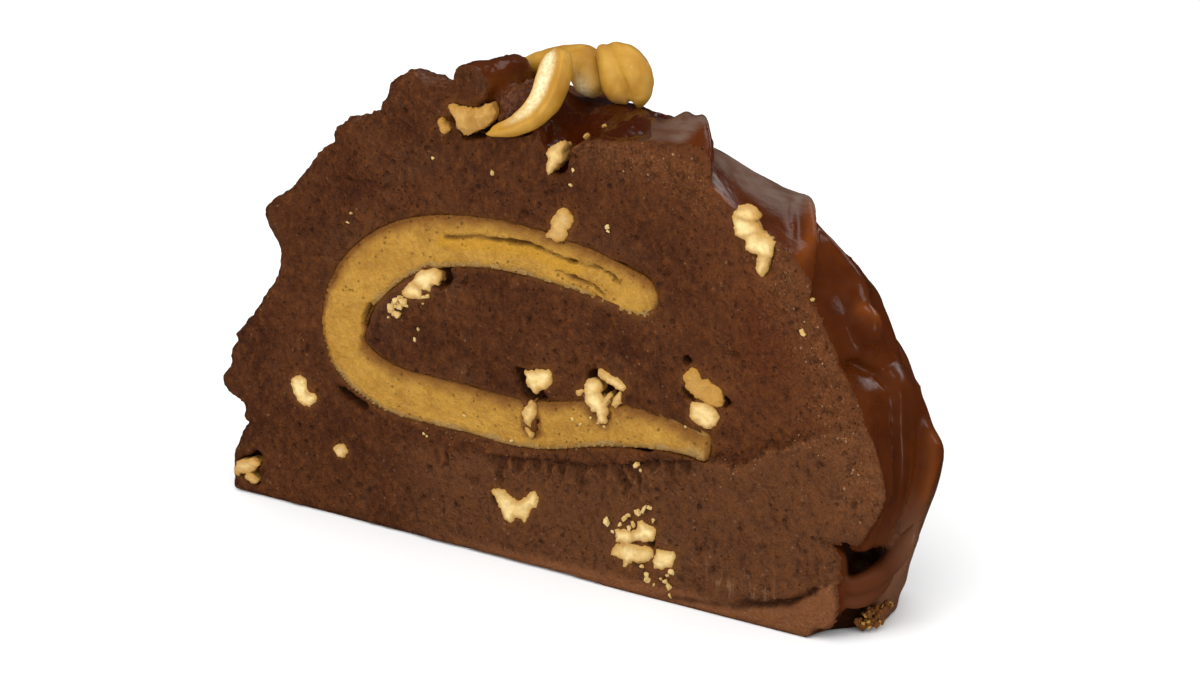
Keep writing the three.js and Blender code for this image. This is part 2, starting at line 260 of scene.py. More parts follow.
room = {
    "zenith": 0.85,
    "horizon": 0.68,
    "mirrored": 0.035,  # how much of the room the gloss shows
    "floorSize": 8.0,
    "floorDrop": 0.0001,
    "floorColours": ((0.93, 0.93, 0.93), (0.95, 0.95, 0.95)),
    "floorMirrored": (0.012, 0.011, 0.010, 1),  # what the gloss shows of the floor
}


def addCamera():
    turn, lift = math.radians(shot["azimuth"]), math.radians(shot["elevation"])
    back = Vector((math.sin(turn) * math.cos(lift), -math.cos(turn) * math.cos(lift), math.sin(lift)))
    place = (Vector(shot["target"]) + back * shot["distance"]) * mm
    bpy.ops.object.camera_add(location=place, rotation=back.to_track_quat("Z", "Y").to_euler())
    camera = bpy.context.active_object
    camera.data.lens = shot["lens"]
    camera.data.sensor_width = shot["sensor"]
    camera.data.clip_start = shot["nearest"]
    bpy.context.scene.camera = camera


def addLamps():
    for name, lamp in lamps.items():
        back = Vector(lamp["at"]) - Vector(lamp["aim"])
        bpy.ops.object.light_add(
            type="AREA", location=lamp["at"], rotation=back.to_track_quat("Z", "Y").to_euler()
        )
        light = bpy.context.active_object
        light.name = name
        light.data.shape = "RECTANGLE"
        light.data.size, light.data.size_y = lamp["size"]
        light.data.energy = lamp["watts"]
        light.visible_glossy = lamp["gloss"]


# node helpers
def feed(tree, socket, value):
    if isinstance(value, bpy.types.NodeSocket):
        tree.links.new(value, socket)
    else:
        socket.default_value = value


def addNode(tree, kind, values=None, **settings):
    made = tree.nodes.new(kind)
    for name, value in settings.items():
        setattr(made, name, value)
    for name, value in (values or {}).items():
        feed(tree, made.inputs[name], value)
    return made


def mixColour(tree, share, first, second):
    made = addNode(tree, "ShaderNodeMix", data_type="RGBA", clamp_factor=True)
    for socket, value in ((0, share), (6, first), (7, second)):
        feed(tree, made.inputs[socket], (*value, 1) if isinstance(value, tuple) else value)
    return made.outputs[2]


def mathOf(tree, operation, first, second=0.0, clamp=False):
    made = addNode(tree, "ShaderNodeMath", operation=operation, use_clamp=clamp)
    feed(tree, made.inputs[0], first)
    feed(tree, made.inputs[1], second)
    return made.outputs[0]


def times(tree, first, second):
    return mathOf(tree, "MULTIPLY", first, second)


def restOf(tree, value, share=1.0):  # what a share of the value leaves of 1
    return mathOf(tree, "SUBTRACT", 1.0, times(tree, value, share))


def tint(tree, colour, mask, share, shade):  # the shade over the colour where the mask says, up to the share
    return mixColour(tree, times(tree, mask, share), colour, shade)


def tintAll(tree, colour, tints, *names):  # the same for masks of the piece, each with its share and shade
    for name in names:
        colour = tint(tree, colour, maskOf(tree, name), *tints[name])
    return colour


def rangeOf(tree, value, fromLow, fromHigh, toLow=0.0, toHigh=1.0):
    made = addNode(tree, "ShaderNodeMapRange", interpolation_type="SMOOTHSTEP")
    for socket, number in zip(range(5), (value, fromLow, fromHigh, toLow, toHigh)):
        feed(tree, made.inputs[socket], number)
    return made.outputs[0]


def noiseOf(tree, vector, scale, detail=3.0, roughness=0.55, distortion=0.0):
    values = {"Vector": vector, "Scale": scale, "Detail": detail, "Roughness": roughness}
    return addNode(tree, "ShaderNodeTexNoise", {**values, "Distortion": distortion}).outputs["Fac"]


def stretch(tree, vector, scale, rotation):
    values = {"Vector": vector, "Scale": scale, "Rotation": rotation}
    return addNode(tree, "ShaderNodeMapping", values).outputs[0]


def maskOf(tree, name):
    return addNode(tree, "ShaderNodeAttribute", attribute_name=name).outputs["Fac"]


def startMaterial(name):
    material = bpy.data.materials.new(name)
    material.use_nodes = True
    tree = material.node_tree
    tree.nodes.clear()
    output = tree.nodes.new("ShaderNodeOutputMaterial")
    shader = tree.nodes.new("ShaderNodeBsdfPrincipled")
    tree.links.new(shader.outputs[0], output.inputs[0])
    coords = tree.nodes.new("ShaderNodeTexCoord").outputs["Object"]
    return material, tree, shader, coords


def setShader(tree, shader, colour, roughness, specular, glow=0.0, glowReach=None):
    feed(tree, shader.inputs["Base Color"], colour)
    feed(tree, shader.inputs["Roughness"], roughness)
    feed(tree, shader.inputs["Specular IOR Level"], specular)
    if glow:
        feed(tree, shader.inputs["Subsurface Weight"], glow)
        feed(tree, shader.inputs["Subsurface Radius"], glowReach)
        feed(tree, shader.inputs["Subsurface Scale"], 1.0)


def addBump(tree, shader, height, strength, distance):
    bump = addNode(tree, "ShaderNodeBump", {"Height": height, "Strength": strength, "Distance": distance})
    feed(tree, shader.inputs["Normal"], bump.outputs[0])


def startGroup(name, inputs, outputs):
    group = bpy.data.node_groups.new(name, "ShaderNodeTree")
    for label, kind in inputs:
        group.interface.new_socket(name=label, in_out="INPUT", socket_type=kind)
    for label, kind in outputs:
        group.interface.new_socket(name=label, in_out="OUTPUT", socket_type=kind)
    return group, group.nodes.new("NodeGroupInput"), group.nodes.new("NodeGroupOutput")


def placeGroup(tree, group, values):
    made = tree.nodes.new("ShaderNodeGroup")
    made.node_tree = group
    for name, value in values.items():
        feed(tree, made.inputs[name], value)
    return made


def makePoresGroup():  # round pits in some of the cells of a fine pattern
    group, start, end = startGroup(
        "pores",
        [("Vector", "NodeSocketVector"), ("Scale", "NodeSocketFloat"), ("Share", "NodeSocketFloat")],
        [("Pit", "NodeSocketFloat")],
    )
    place = {"Vector": start.outputs["Vector"], "Scale": start.outputs["Scale"]}
    cells = addNode(group, "ShaderNodeTexVoronoi", place)
    parts = addNode(group, "ShaderNodeSeparateColor", {"Color": cells.outputs["Color"]})
    chosen = mathOf(group, "LESS_THAN", parts.outputs[0], start.outputs["Share"])
    reach = rangeOf(group, parts.outputs[1], 0.0, 1.0, 0.16, 0.42)
    depth = mathOf(group, "DIVIDE", cells.outputs["Distance"], reach)
    pit = rangeOf(group, depth, 1.0, 0.35)
    feed(group, end.inputs["Pit"], times(group, pit, chosen))
    return group


def makeMottleGroup():  # uneven cloudy patches at two sizes
    group, start, end = startGroup(
        "mottle",
        [("Vector", "NodeSocketVector"), ("Scale", "NodeSocketFloat")],
        [("Patches", "NodeSocketFloat"), ("Grain", "NodeSocketFloat")],
    )
    vector, scale = start.outputs["Vector"], start.outputs["Scale"]
    broad = noiseOf(group, vector, scale, 4.0, 0.6, 0.4)
    fine = noiseOf(group, vector, times(group, scale, 9.0), 3.0, 0.65)
    feed(group, end.inputs["Patches"], rangeOf(group, broad, 0.3, 0.7))
    feed(group, end.inputs["Grain"], fine)
    return group


poresGroup = makePoresGroup()
mottleGroup = makeMottleGroup()


def poresOf(tree, vector, scale, share):
    return placeGroup(tree, poresGroup, {"Vector": vector, "Scale": scale, "Share": share}).outputs["Pit"]


def mottleOf(tree, vector, scale):
    made = placeGroup(tree, mottleGroup, {"Vector": vector, "Scale": scale})
    return made.outputs["Patches"], made.outputs["Grain"]


def addFloor():
    bpy.ops.mesh.primitive_plane_add(size=room["floorSize"], location=(0, 0, -room["floorDrop"]))
    floor = bpy.context.active_object
    floor.name = "floor"
    material, tree, shader, coords = startMaterial("paleFloor")
    colour = mixColour(tree, noiseOf(tree, coords, 6.0), *room["floorColours"])
    setShader(tree, shader, colour, 1.0, 0.0)
    dull = addNode(tree, "ShaderNodeBsdfDiffuse", {"Color": room["floorMirrored"]})
    rays = tree.nodes.new("ShaderNodeLightPath")
    both = addNode(tree, "ShaderNodeMixShader", {"Fac": rays.outputs["Is Glossy Ray"]})
    output = [n for n in tree.nodes if n.type == "OUTPUT_MATERIAL"][0]
    tree.links.new(shader.outputs[0], both.inputs[1])
    tree.links.new(dull.outputs[0], both.inputs[2])
    tree.links.new(both.outputs[0], output.inputs[0])
    floor.data.materials.append(material)


def addRoom():
    world = bpy.data.worlds.new("room")
    bpy.context.scene.world = world
    world.use_nodes = True
    tree = world.node_tree
    background = [n for n in tree.nodes if n.type == "BACKGROUND"][0]
    direction = tree.nodes.new("ShaderNodeTexCoord").outputs["Generated"]
    height = addNode(tree, "ShaderNodeSeparateXYZ", {"Vector": direction}).outputs["Z"]
    bright = rangeOf(tree, height, 0.0, 1.0, room["horizon"], room["zenith"])
    rays = tree.nodes.new("ShaderNodeLightPath").outputs["Is Glossy Ray"]
    dim = restOf(tree, rays, 1.0 - room["mirrored"])
    feed(tree, background.inputs["Strength"], times(tree, bright, dim))
    background.inputs["Color"].default_value = (1, 1, 1, 1)
    bpy.context.scene.view_settings.view_transform = "Standard"


addCamera()
addLamps()
addFloor()
addRoom()
print("camera, floor and light placed")


# fudge: the solid's copy with lumps and folded sheets joined on, remeshed, and its cut faces torn
fudgeShape = {
    "coreVoxel": 0.5,
    "voxel": 0.42,
    "mostTriangles": 192000,
    "coreSmoothing": 18,
    "smoothing": {"folded": 4, "crags": 3, "faces": 8},
    "backSlope": 3.2,  # how far the top behind the ridge falls away
    "degreeLength": 0.95,  # millimetres of skin to a degree round the middle of the cut face
    "byRibbon": 0.8,  # what lies this close to the ribbon is hidden by it
    "blur": 2,  # rounds of blur at the edge of a zone
}
fudgeZones = {  # from where to where a zone fades in, in millimetres
    "foldedCore": (58, 48),
    "folded": (66, 60),
    "slopeDepth": (-1, 7),
    "slopeAlong": (8, 18),
    "slopeHeight": (54, 64),
}
fudgeWaves = {  # size, depth of detail, height and where
    "skinWaves": (5.0, 1, 0.25, "folded"),
    "cragWaves": (2.4, 2, 0.35, "crags"),
    "cragGrain": (0.8, 1, 0.35, "crags"),
}
cutReach = {  # what counts as cut: how near to the plane of the cut, and how square to it
    "shape": {"front": (1.4, 0.5), "back": (0.9, 0.5)},
    "finish": {"front": (1.0, 0.25), "back": (1.3, 0.35)},
}
baseReach = 0.25
ridgeEnd = {  # behind the ridge's end the top stays below this slope, under the flap
    "from": 22.5, "to": 30, "front": -0.8, "top": 70.6, "fall": 0.55, "backFall": 0.6, "backFrom": 0.6,
}
crags = {  # lumps joined on at the top, side and foot: middle, half sizes, turn in degrees, how rough
    "nub": {"at": (-34.6, -9.6, 65.0), "half": (2.1, 2.2, 2.1), "turn": 0, "rough": 0.25},
    "leftCrag": {"at": (-23.2, -9.2, 73.4), "half": (3.4, 3.2, 3.1), "turn": 20, "rough": 0.9},
    "leftCragSide": {"at": (-20.0, -7.0, 73.6), "half": (2.0, 3.0, 2.4), "turn": 0, "rough": 0.5},
    "saddle": {"at": (-17.4, -8.6, 72.9), "half": (3.6, 4.2, 3.0), "turn": 0, "rough": 0.4},
    "lumpByRoll": {"at": (-6.4, -6.6, 73.6), "half": (2.9, 3.0, 2.7), "turn": 25, "rough": 0.9},
    "lumpBehind": {"at": (-3.6, -2.6, 74.4), "half": (2.6, 3.2, 2.2), "turn": 0, "rough": 0.6},
    "nutUnderSkin": {"at": (53.0, -3.0, 47.4), "half": (2.8, 2.9, 3.4), "turn": 20, "rough": 0.3},
    "holeBack": {"at": (53.0, -3.0, 9.6), "half": (1.8, 2.0, 1.5), "turn": 0, "rough": 0.6},
    "tornLump": {"at": (-0.2, -8.2, 69.6), "half": (1.5, 2.4, 2.9), "turn": 15, "rough": 0.7},
    "holeFill": {"at": (51.6, -9.6, 11.4), "half": (2.9, 3.0, 4.2), "turn": 0, "rough": 0.5},
    "lipFill": {"at": (51.6, -9.8, 5.8), "half": (2.7, 2.6, 4.4), "turn": 0, "rough": 0.4},
    "backFill": {"at": (48.0, 8.0, 27.0), "half": (8.7, 7.0, 17.0), "turn": 0, "rough": 0.5},
    "flapFill": {"at": (28.0, 6.5, 58.2), "half": (8.0, 7.5, 5.0), "turn": 0, "rough": 0.5},
    "flapFillTop": {"at": (24.0, 6.2, 60.0), "half": (7.0, 7.4, 4.2), "turn": 0, "rough": 0.5},
}
roll = {
    "front": (-12.2, -11.45, 76.5), "back": (-9.2, -0.8, 76.2), "radius": 3.5, "dents": 0.8, "flatEnd": 0.6,
}
cutters = {  # what is cut out: middle, half sizes, turn and tilt in degrees
    "oldRoll": {"at": (-11.6, -5.0, 78.6), "half": (6.4, 9.0, 5.8), "turn": 0, "tilt": 0, "box": True},
    "ridgeBack": {"at": (32.6, 6.0, 72.4), "half": (7.0, 9.5, 5.0), "turn": 0, "tilt": 33, "box": True},
    "footHole": {"at": (56.2, -4.4, 11.4), "half": (3.8, 4.6, 1.8), "turn": 30, "tilt": 0, "box": False},
    "footHoleLow": {"at": (55.4, -7.8, 2.4), "half": (2.7, 3.6, 1.9), "turn": 25, "tilt": 0, "box": False},
}
footFolds = [  # rolled folds under the hole, in x, y, z and half width
    [(53.4, -9.4, 8.0, 0.4), (54.6, -8.6, 8.5, 1.3), (56.0, -7.6, 9.0, 1.6),
     (57.4, -6.2, 9.7, 1.7), (58.4, -4.8, 10.9, 1.7), (59.5, -3.4, 12.5, 1.6),
     (60.4, -1.9, 14.6, 1.4), (60.9, -0.9, 16.2, 0.9), (60.8, 0.0, 17.2, 0.3)],
    [(53.6, -9.0, 5.6, 0.3), (54.8, -8.4, 5.8, 0.9), (56.2, -7.2, 6.3, 1.2),
     (57.6, -5.8, 7.4, 1.1), (58.6, -4.4, 9.0, 0.9), (59.2, -3.4, 10.4, 0.3)],
]
facing = (0.5147, -0.7926, 0.3270)  # the way the broad sides of rolled and bent bodies face
sideSkin = {  # one smooth sheet fitted to the folded side, from and to in degrees round the hub
    "knots": 8.0, "reach": 7.5, "from": -16.0, "to": 56.0, "rimBlend": 1.6, "backFrom": 14, "damping": 0.05,
}
underSkin = {"from": -40, "to": 66, "least": 20, "rayFrom": 120, "inset": 0.3}  # where the core is drawn in
tubeShape = {"between": 6, "sides": 40, "least": 0.12}  # rings to a station, sides and least half width
sheets = {  # the folded side as overlapping sheets: places on each, in rows from the front cut to the back
    "ridge": [
        [(21, -11.4, 72.2), (19.1, -8.4, 73.3), (16.6, -4.4, 74.3), (13.7, -0.4, 73.1)],
        [(23.4, -11.4, 72.4), (21.5, -8.4, 73.4), (19, -4.4, 74.2), (16.6, -0.4, 72.8)],
        [(25.2, -11.4, 72.5), (23.6, -8.4, 73.6), (21, -4.4, 75), (19, -0.4, 73.3)],
        [(26.9, -11.4, 72.3), (25.2, -8.4, 74.1), (22.6, -3.9, 76), (20.8, 0.1, 73.8)],
        [(28.4, -11.4, 72.1), (26.6, -8.4, 74.2), (24, -3.9, 75.5), (22.6, 0.1, 73.4)],
        [(30.3, -11.4, 71.9), (28.3, -8.4, 74.4), (25.5, -3.9, 75.9), (24, 0.1, 73.6)],
        [(31.5, -11.4, 71.2), (29.8, -8.4, 73.6), (27.2, -4.9, 74.9), (24.2, -0.4, 72.4)],
        [(31.7, -11.4, 67.5), (30.4, -8.4, 70.3), (27.6, -4.9, 71.8), (24.4, -0.4, 70.4)],
    ],
    "flap": [
        [(29.7, -11.4, 69), (28.3, -7.4, 69.1), (25.2, -2.4, 70.7), (25.1, 0.6, 69), (24.8, 3.6, 66.1)],
        [(33.5, -11.4, 65.9), (30.4, -6.4, 67.5), (27.7, -1.9, 69.9), (27.6, 0.6, 68.5), (27.3, 3.6, 65.2)],
        [(37.4, -11.4, 63.2), (34.3, -5.4, 64.9), (31.7, -0.4, 67.3), (31.6, 1.8, 66.3), (31.2, 4.6, 63.1)],
        [(41.6, -11.4, 61.3), (39, -4.9, 63.2), (36.3, 0.6, 65.4), (36.2, 2.6, 64.5), (35.5, 5.1, 61.5)],
        [(43.7, -11.4, 60), (41, -4.9, 62.4), (38.4, 0.6, 65), (38.1, 2.4, 64.2), (37.3, 4.8, 61.4)],
        [(44.9, -11.4, 59.3), (42.1, -4.9, 61.9), (39.5, 0.6, 64.8), (39.1, 2.3, 64), (38.3, 4.7, 61.3)],
        [(45.7, -11.4, 58.7), (42.9, -4.9, 61.5), (40.4, 0.6, 64.6), (40, 2.2, 63.9), (39.1, 4.6, 61.2)],
        [(46.6, -11.4, 57.8), (43.8, -5, 61.6), (41.4, 0.4, 64.6), (40.9, 1.8, 63.8), (39.6, 4.6, 61)],
        [(47.3, -11.4, 56.7), (44.6, -5.2, 61.3), (42.1, -0, 64.3), (41.4, 1.6, 63.5), (39.8, 4.6, 60.9)],
        [(48.7, -11.2, 53.7), (46.6, -5.9, 60), (43.3, -0.9, 62.9), (42, 1.1, 62.2), (39.9, 4.6, 60.1)],
        [(46.5, -9.8, 52.3), (43.6, -3.9, 57.9), (40.5, 0.6, 60.6), (39.7, 2.1, 60), (38.3, 4.6, 58.6)],
    ],
    "middleLobe": [
        [(42.9, -7.4, 59.1), (42.2, -4.4, 60.4), (42.7, -1.4, 61.8),
         (40.7, 2.6, 60.9), (38.3, 5.1, 58.9), (35.9, 7.6, 56.8)],
        [(45.2, -8.9, 57.8), (45.6, -5.4, 59.1), (46.9, -2.4, 59.8),
         (45.9, 0.1, 58.1), (43.9, 2.8, 56.2), (41.9, 5.6, 54.3)],
        [(46.1, -10.2, 54.5), (48, -5.9, 56.3), (49.7, -2.4, 57.2),
         (49.1, 0.6, 55.3), (47.2, 3.6, 52.9), (45.2, 6.6, 50.5)],
        [(47.7, -11.4, 52.6), (49.8, -6.4, 53.6), (52.2, -2.4, 54.2),
         (51.2, 1.1, 53.3), (51, 4.1, 50.9), (47.3, 8.6, 46.5)],
        [(50.2, -11.4, 50.2), (51.1, -6.4, 50.2), (53.3, -2.1, 50.4),
         (52, 1.4, 49.6), (52.7, 4.6, 47.7), (49.5, 8.6, 43.4)],
        [(51.8, -11.4, 47.3), (52.5, -6.4, 47.1), (53.9, -2.6, 46.6),
         (53.9, 1.1, 45.6), (54.2, 5.1, 43.4), (51.3, 8.6, 39.3)],
        [(53, -11.1, 44.8), (53.5, -6.6, 44.1), (54.8, -2.8, 41.6),
         (55.4, 0.4, 39.7), (54.9, 5.4, 40.3), (52.1, 8.6, 36.9)],
        [(51.9, -10.6, 43.9), (51.3, -5.4, 42.4), (51.8, -1.4, 40),
         (52.6, 1.6, 38.2), (52.8, 6, 38.6), (50.1, 8.6, 35.6)],
    ],
    "lowerLobe": [
        [(51.1, -11.4, 47.2), (50.1, -6.9, 45), (50.6, -3.4, 43.2), (50.9, -1.9, 41.9),
         (50.7, -0.9, 41.6), (52.2, -0.4, 42.3), (53.5, 2.1, 42.2), (54.4, 4.6, 41.4),
         (54.1, 6.6, 39.4), (52.9, 8.6, 37.2), (51.8, 10.6, 34.9)],
        [(54.8, -11.4, 42.3), (54.7, -7.9, 40.8), (55.8, -4.4, 39.2), (56.8, -2.6, 38.2),
         (55.3, -1.6, 37.1), (57.9, -1.8, 38.6), (58, 0.8, 39.1), (57.4, 3.6, 38.6),
         (56.7, 6.6, 36.9), (54.9, 9.1, 34.8), (53, 11.6, 32.6)],
        [(57.2, -11.4, 37.7), (57.3, -7.9, 36.9), (57.6, -4.4, 35.9), (57.8, -3.2, 35.4),
         (56.1, -2.2, 34.7), (58.8, -2.2, 35.3), (58.8, 1.2, 34.7), (58.9, 3.8, 34.3),
         (59.2, 6.6, 32.5), (57.4, 9.1, 30.1), (55.6, 11.6, 27.6)],
        [(59.7, -11.4, 32.9), (59, -8.6, 32.4), (58.8, -5.8, 31.7), (58.7, -4.4, 31.4),
         (56.9, -3.2, 30.8), (59.5, -3, 31.2), (59.6, 0.6, 30.3), (59.3, 3.2, 29.7),
         (60.9, 4.6, 29.4), (61.3, 7.1, 28.1), (58.1, 11.6, 22.9)],
        [(61.4, -11.4, 28.3), (60.4, -9.2, 27.9), (60.2, -7.2, 27.5), (60, -5.8, 27.3),
         (58.2, -4.4, 27), (60.4, -3.8, 26.8), (60.1, -0.2, 25.6), (59.3, 2.4, 24.7),
         (61, 4.2, 24.6), (61.7, 7.2, 25.3), (58.6, 11.6, 19.1)],
        [(61.9, -11.4, 24.5), (60.9, -9.8, 24.2), (60.8, -8, 23.7), (60.6, -7, 23.5),
         (59.1, -5.6, 23.1), (60.7, -4.8, 22.7), (60.2, -1.6, 21.4), (59, 1.2, 20.6),
         (60.2, 3, 19.8), (60.3, 6.2, 18.9), (57.3, 10.6, 13.6)],
        [(59.7, -11.4, 20.1), (59.2, -9.8, 19.6), (59.2, -8.2, 19.3), (59.1, -7.2, 19.1),
         (58.4, -6.2, 19.2), (59.7, -5.2, 18.8), (59.4, -2.4, 18), (58.5, 0.2, 17.5),
         (59.3, 2.2, 16.7), (59, 5.6, 14.7), (56.1, 10.6, 9.7)],
        [(57.2, -11.2, 16.6), (57.1, -9.8, 15.9), (57.4, -8.4, 15.3), (57.7, -7.4, 15.1),
         (57.4, -6.4, 15.1), (58.4, -5, 14.8), (58.4, -2.4, 14.3), (58, 0.4, 13.8),
         (58.5, 2.4, 13.4), (58.6, 5.6, 12), (55.4, 10.6, 7.6)],
        [(55, -9.8, 15.1), (54.8, -8.4, 14.2), (54.9, -6.8, 13.4), (55.1, -5.6, 13.1),
         (55.1, -4.4, 13.0), (55.6, -3, 13.1), (56.1, -0.8, 13.1), (56.2, 1.6, 12.6),
         (56.4, 3.2, 12.3), (56.3, 6.1, 10.4), (54.4, 10.6, 6.3)],
    ],
    "skirt": [
        [(55.1, -4.4, 14.2), (56.1, -3, 13.8), (57.1, -1.4, 13.7),
         (58, 1.6, 13.3), (57.9, 5.6, 12.2), (54.4, 10.6, 7.3)],
        [(57.5, -4.4, 12.7), (57.8, -3.4, 12.5), (58.3, -1.8, 12.5),
         (58.7, 1.2, 12.5), (58.5, 5.6, 11.6), (54.3, 10.6, 6.6)],
        [(56.8, -5.8, 10.3), (57.5, -4.6, 10.6), (58.4, -2.4, 11),
         (58.9, 0.8, 11.9), (58.3, 5.6, 10.9), (54, 10.6, 5.9)],
        [(55.9, -5.4, 9.4), (56.8, -4, 9.5), (57.7, -1.6, 10.2),
         (58.1, 1.6, 10.6), (57.9, 5.6, 9.3), (53.9, 10.6, 4.4)],
        [(56.2, -5.4, 7), (57.4, -3.8, 7.3), (58.1, -1.4, 7.8),
         (58.3, 1.8, 8.2), (57.3, 5.6, 7.4), (53.5, 10.6, 2.3)],
        [(55.8, -5.4, 4.8), (57.1, -3.8, 5.2), (57.7, -1.2, 5.3),
         (57.6, 1.8, 5.5), (56.8, 5.6, 4.8), (52.6, 10.6, 0.6)],
        [(55.4, -5.2, 2.4), (56.5, -3.6, 2.8), (57, -1.2, 2.9),
         (56.8, 1.8, 3), (55.9, 5.6, 2.6), (52.2, 10.6, 0.3)],
        [(55, -5.2, 0), (56, -3.6, 0), (56.4, -1.2, 0), (56.2, 1.8, 0), (55.4, 5.6, 0), (51.9, 10.6, 0)],
    ],
}
sheetShape = {
    "between": 8, "cover": 1.0,
    "thickness": {"ridge": 4.0, "flap": 3.6, "middleLobe": 4.5, "lowerLobe": 8.0, "skirt": 6.0},
}


def addLump(name, lump):
    bpy.ops.mesh.primitive_ico_sphere_add(subdivisions=4, radius=1)
    made = bpy.context.active_object
    made.name = name
    made.scale = Vector(lump["half"]) * mm
    made.rotation_euler = (0, 0, math.radians(lump["turn"]))
    made.location = Vector(lump["at"]) * mm
    bpy.ops.object.transform_apply()
    displace(made, cloudTexture(name + "Rough", 1.6, 2), lump["rough"])
    places = placesOf(made)
    places[:, 1] = np.clip(places[:, 1], frontDepth, backDepth)
    places[:, 2] = np.maximum(places[:, 2], 0)
    setPlaces(made, places)
    return made


def addCutter(name, cutter):
    if cutter["box"]:
        bpy.ops.mesh.primitive_cube_add(size=2)
    else:
        bpy.ops.mesh.primitive_ico_sphere_add(subdivisions=3, radius=1)
    made = bpy.context.active_object
    made.scale = Vector(cutter["half"]) * mm
    made.rotation_euler = (0, math.radians(cutter["tilt"]), math.radians(cutter["turn"]))
    made.location = Vector(cutter["at"]) * mm
    bpy.ops.object.transform_apply()
    if not cutter["box"]:
        displace(made, cloudTexture(name + "Torn", 2.4, 2), 1.3)
    return made


def addRoll():  # the end of a rolled strip that lies on the top, cut off with the face
    front, back = Vector(roll["front"]) * mm, Vector(roll["back"]) * mm
    bpy.ops.mesh.primitive_cylinder_add(
        vertices=40, radius=roll["radius"] * mm, depth=(back - front).length, location=(front + back) / 2,
        rotation=(back - front).to_track_quat("Z", "Y").to_euler(),
    )
    made = bpy.context.active_object
    bpy.ops.object.transform_apply()
    onWholeMesh(bpy.ops.mesh.subdivide, number_cuts=3)
    displace(made, cloudTexture("rollDents", 3.2, 1), roll["dents"])
    places = placesOf(made)
    cutDepth = roll["front"][1]
    places[:, 1] = np.where(places[:, 1] < cutDepth + roll["flatEnd"], cutDepth, places[:, 1])
    setPlaces(made, places)
    return made


def addTube(line, through, shape=None):  # an oval body drawn along a line of x, y, z and half width
    stations = smoothLine(line, tubeShape["between"])
    middles, halves = stations[:, :3], np.maximum(stations[:, 3], tubeShape["least"])
    runs = np.gradient(middles, axis=0)
    runs /= np.linalg.norm(runs, axis=1)[:, None]
    sideways = np.cross(runs, facing)
    sideways /= np.linalg.norm(sideways, axis=1)[:, None]
    outward = np.cross(sideways, runs)
    rings = len(stations)
    bpy.ops.mesh.primitive_uv_sphere_add(segments=tubeShape["sides"], ring_count=rings + 1, radius=1)
    made = bpy.context.active_object
    flat = placesOf(made) * mm
    ring = np.rint(np.arccos(np.clip(flat[:, 2], -1, 1)) / math.pi * (rings + 1)).astype(int) - 1
    ring = np.clip(ring, 0, rings - 1)
    pole = np.abs(flat[:, 2]) > 0.9999
    angle = np.arctan2(flat[:, 1], flat[:, 0])
    a, b = np.where(pole, 0, np.cos(angle)), np.where(pole, 0, np.sin(angle))
    mask = np.zeros(len(a))
    if shape:
        a, b, mask = shape(a, b, ring / (rings - 1))
    half = halves[ring]
    places = middles[ring] + sideways[ring] * (a * half)[:, None]
    setPlaces(made, places + outward[ring] * (b * half * through)[:, None])
    onWholeMesh(bpy.ops.mesh.normals_make_consistent, inside=False)
    return made, mask


def turnOf(places):  # degrees round the hub, from the right-hand side upwards
    return np.degrees(np.arctan2(places[:, 2] - hubHeight, places[:, 0]))


def skinMap(places):  # millimetres of skin round the middle of the cut face, and depth behind the front
    turn = turnOf(places)
    turn = np.where(turn < -90, turn + 360, turn)
    return np.stack([turn * fudgeShape["degreeLength"], places[:, 1] - frontDepth], 1)


def drawOut(places, share):  # moves places away from the hub or towards it
    moved = places.copy()
    moved[:, 0] *= share
    moved[:, 2] = hubHeight + (places[:, 2] - hubHeight) * share
    return moved


def smoothLine(points, between):  # a smooth line through the points
    points = np.asarray(points, float)
    padded = np.concatenate([2 * points[:1] - points[1:2], points, 2 * points[-1:] - points[-2:-1]])
    made = []
    for i in range(len(points) - 1):
        a, b, c, d = padded[i:i + 4]
        bend, twist = 2 * a - 5 * b + 4 * c - d, 3 * b - a - 3 * c + d
        for t in np.arange(between) / between:
            made.append(0.5 * (2 * b + (c - a) * t + bend * t ** 2 + twist * t ** 3))
    return np.array(made + [points[-1]])


def addSheet(name, rows):  # a smooth sheet through the places, thickened inwards
    across = smoothLine(rows, sheetShape["between"])
    surface = smoothLine(across.swapaxes(0, 1), sheetShape["between"]).swapaxes(0, 1)
    tall, wide = surface.shape[0] - 1, surface.shape[1] - 1
    bpy.ops.mesh.primitive_grid_add(x_subdivisions=wide, y_subdivisions=tall, size=2)
    made = bpy.context.active_object
    made.name = name
    flat = placesOf(made) * mm
    column = np.rint((flat[:, 0] + 1) / 2 * wide).astype(int)
    row = np.rint((flat[:, 1] + 1) / 2 * tall).astype(int)
    setPlaces(made, surface[row, column])
    places, normals = placesOf(made), normalsOf(made)
    if (normals[:, 0] * places[:, 0] + normals[:, 2] * (places[:, 2] - hubHeight)).mean() < 0:
        onWholeMesh(bpy.ops.mesh.flip_normals)
    applyModifier(made, "SOLIDIFY", thickness=sheetShape["thickness"][name] * mm, offset=-1)
    places = placesOf(made)
    places[:, 1] = np.maximum(places[:, 1], frontDepth)
    places[:, 2] = np.maximum(places[:, 2], 0)
    setPlaces(made, places)
    return made


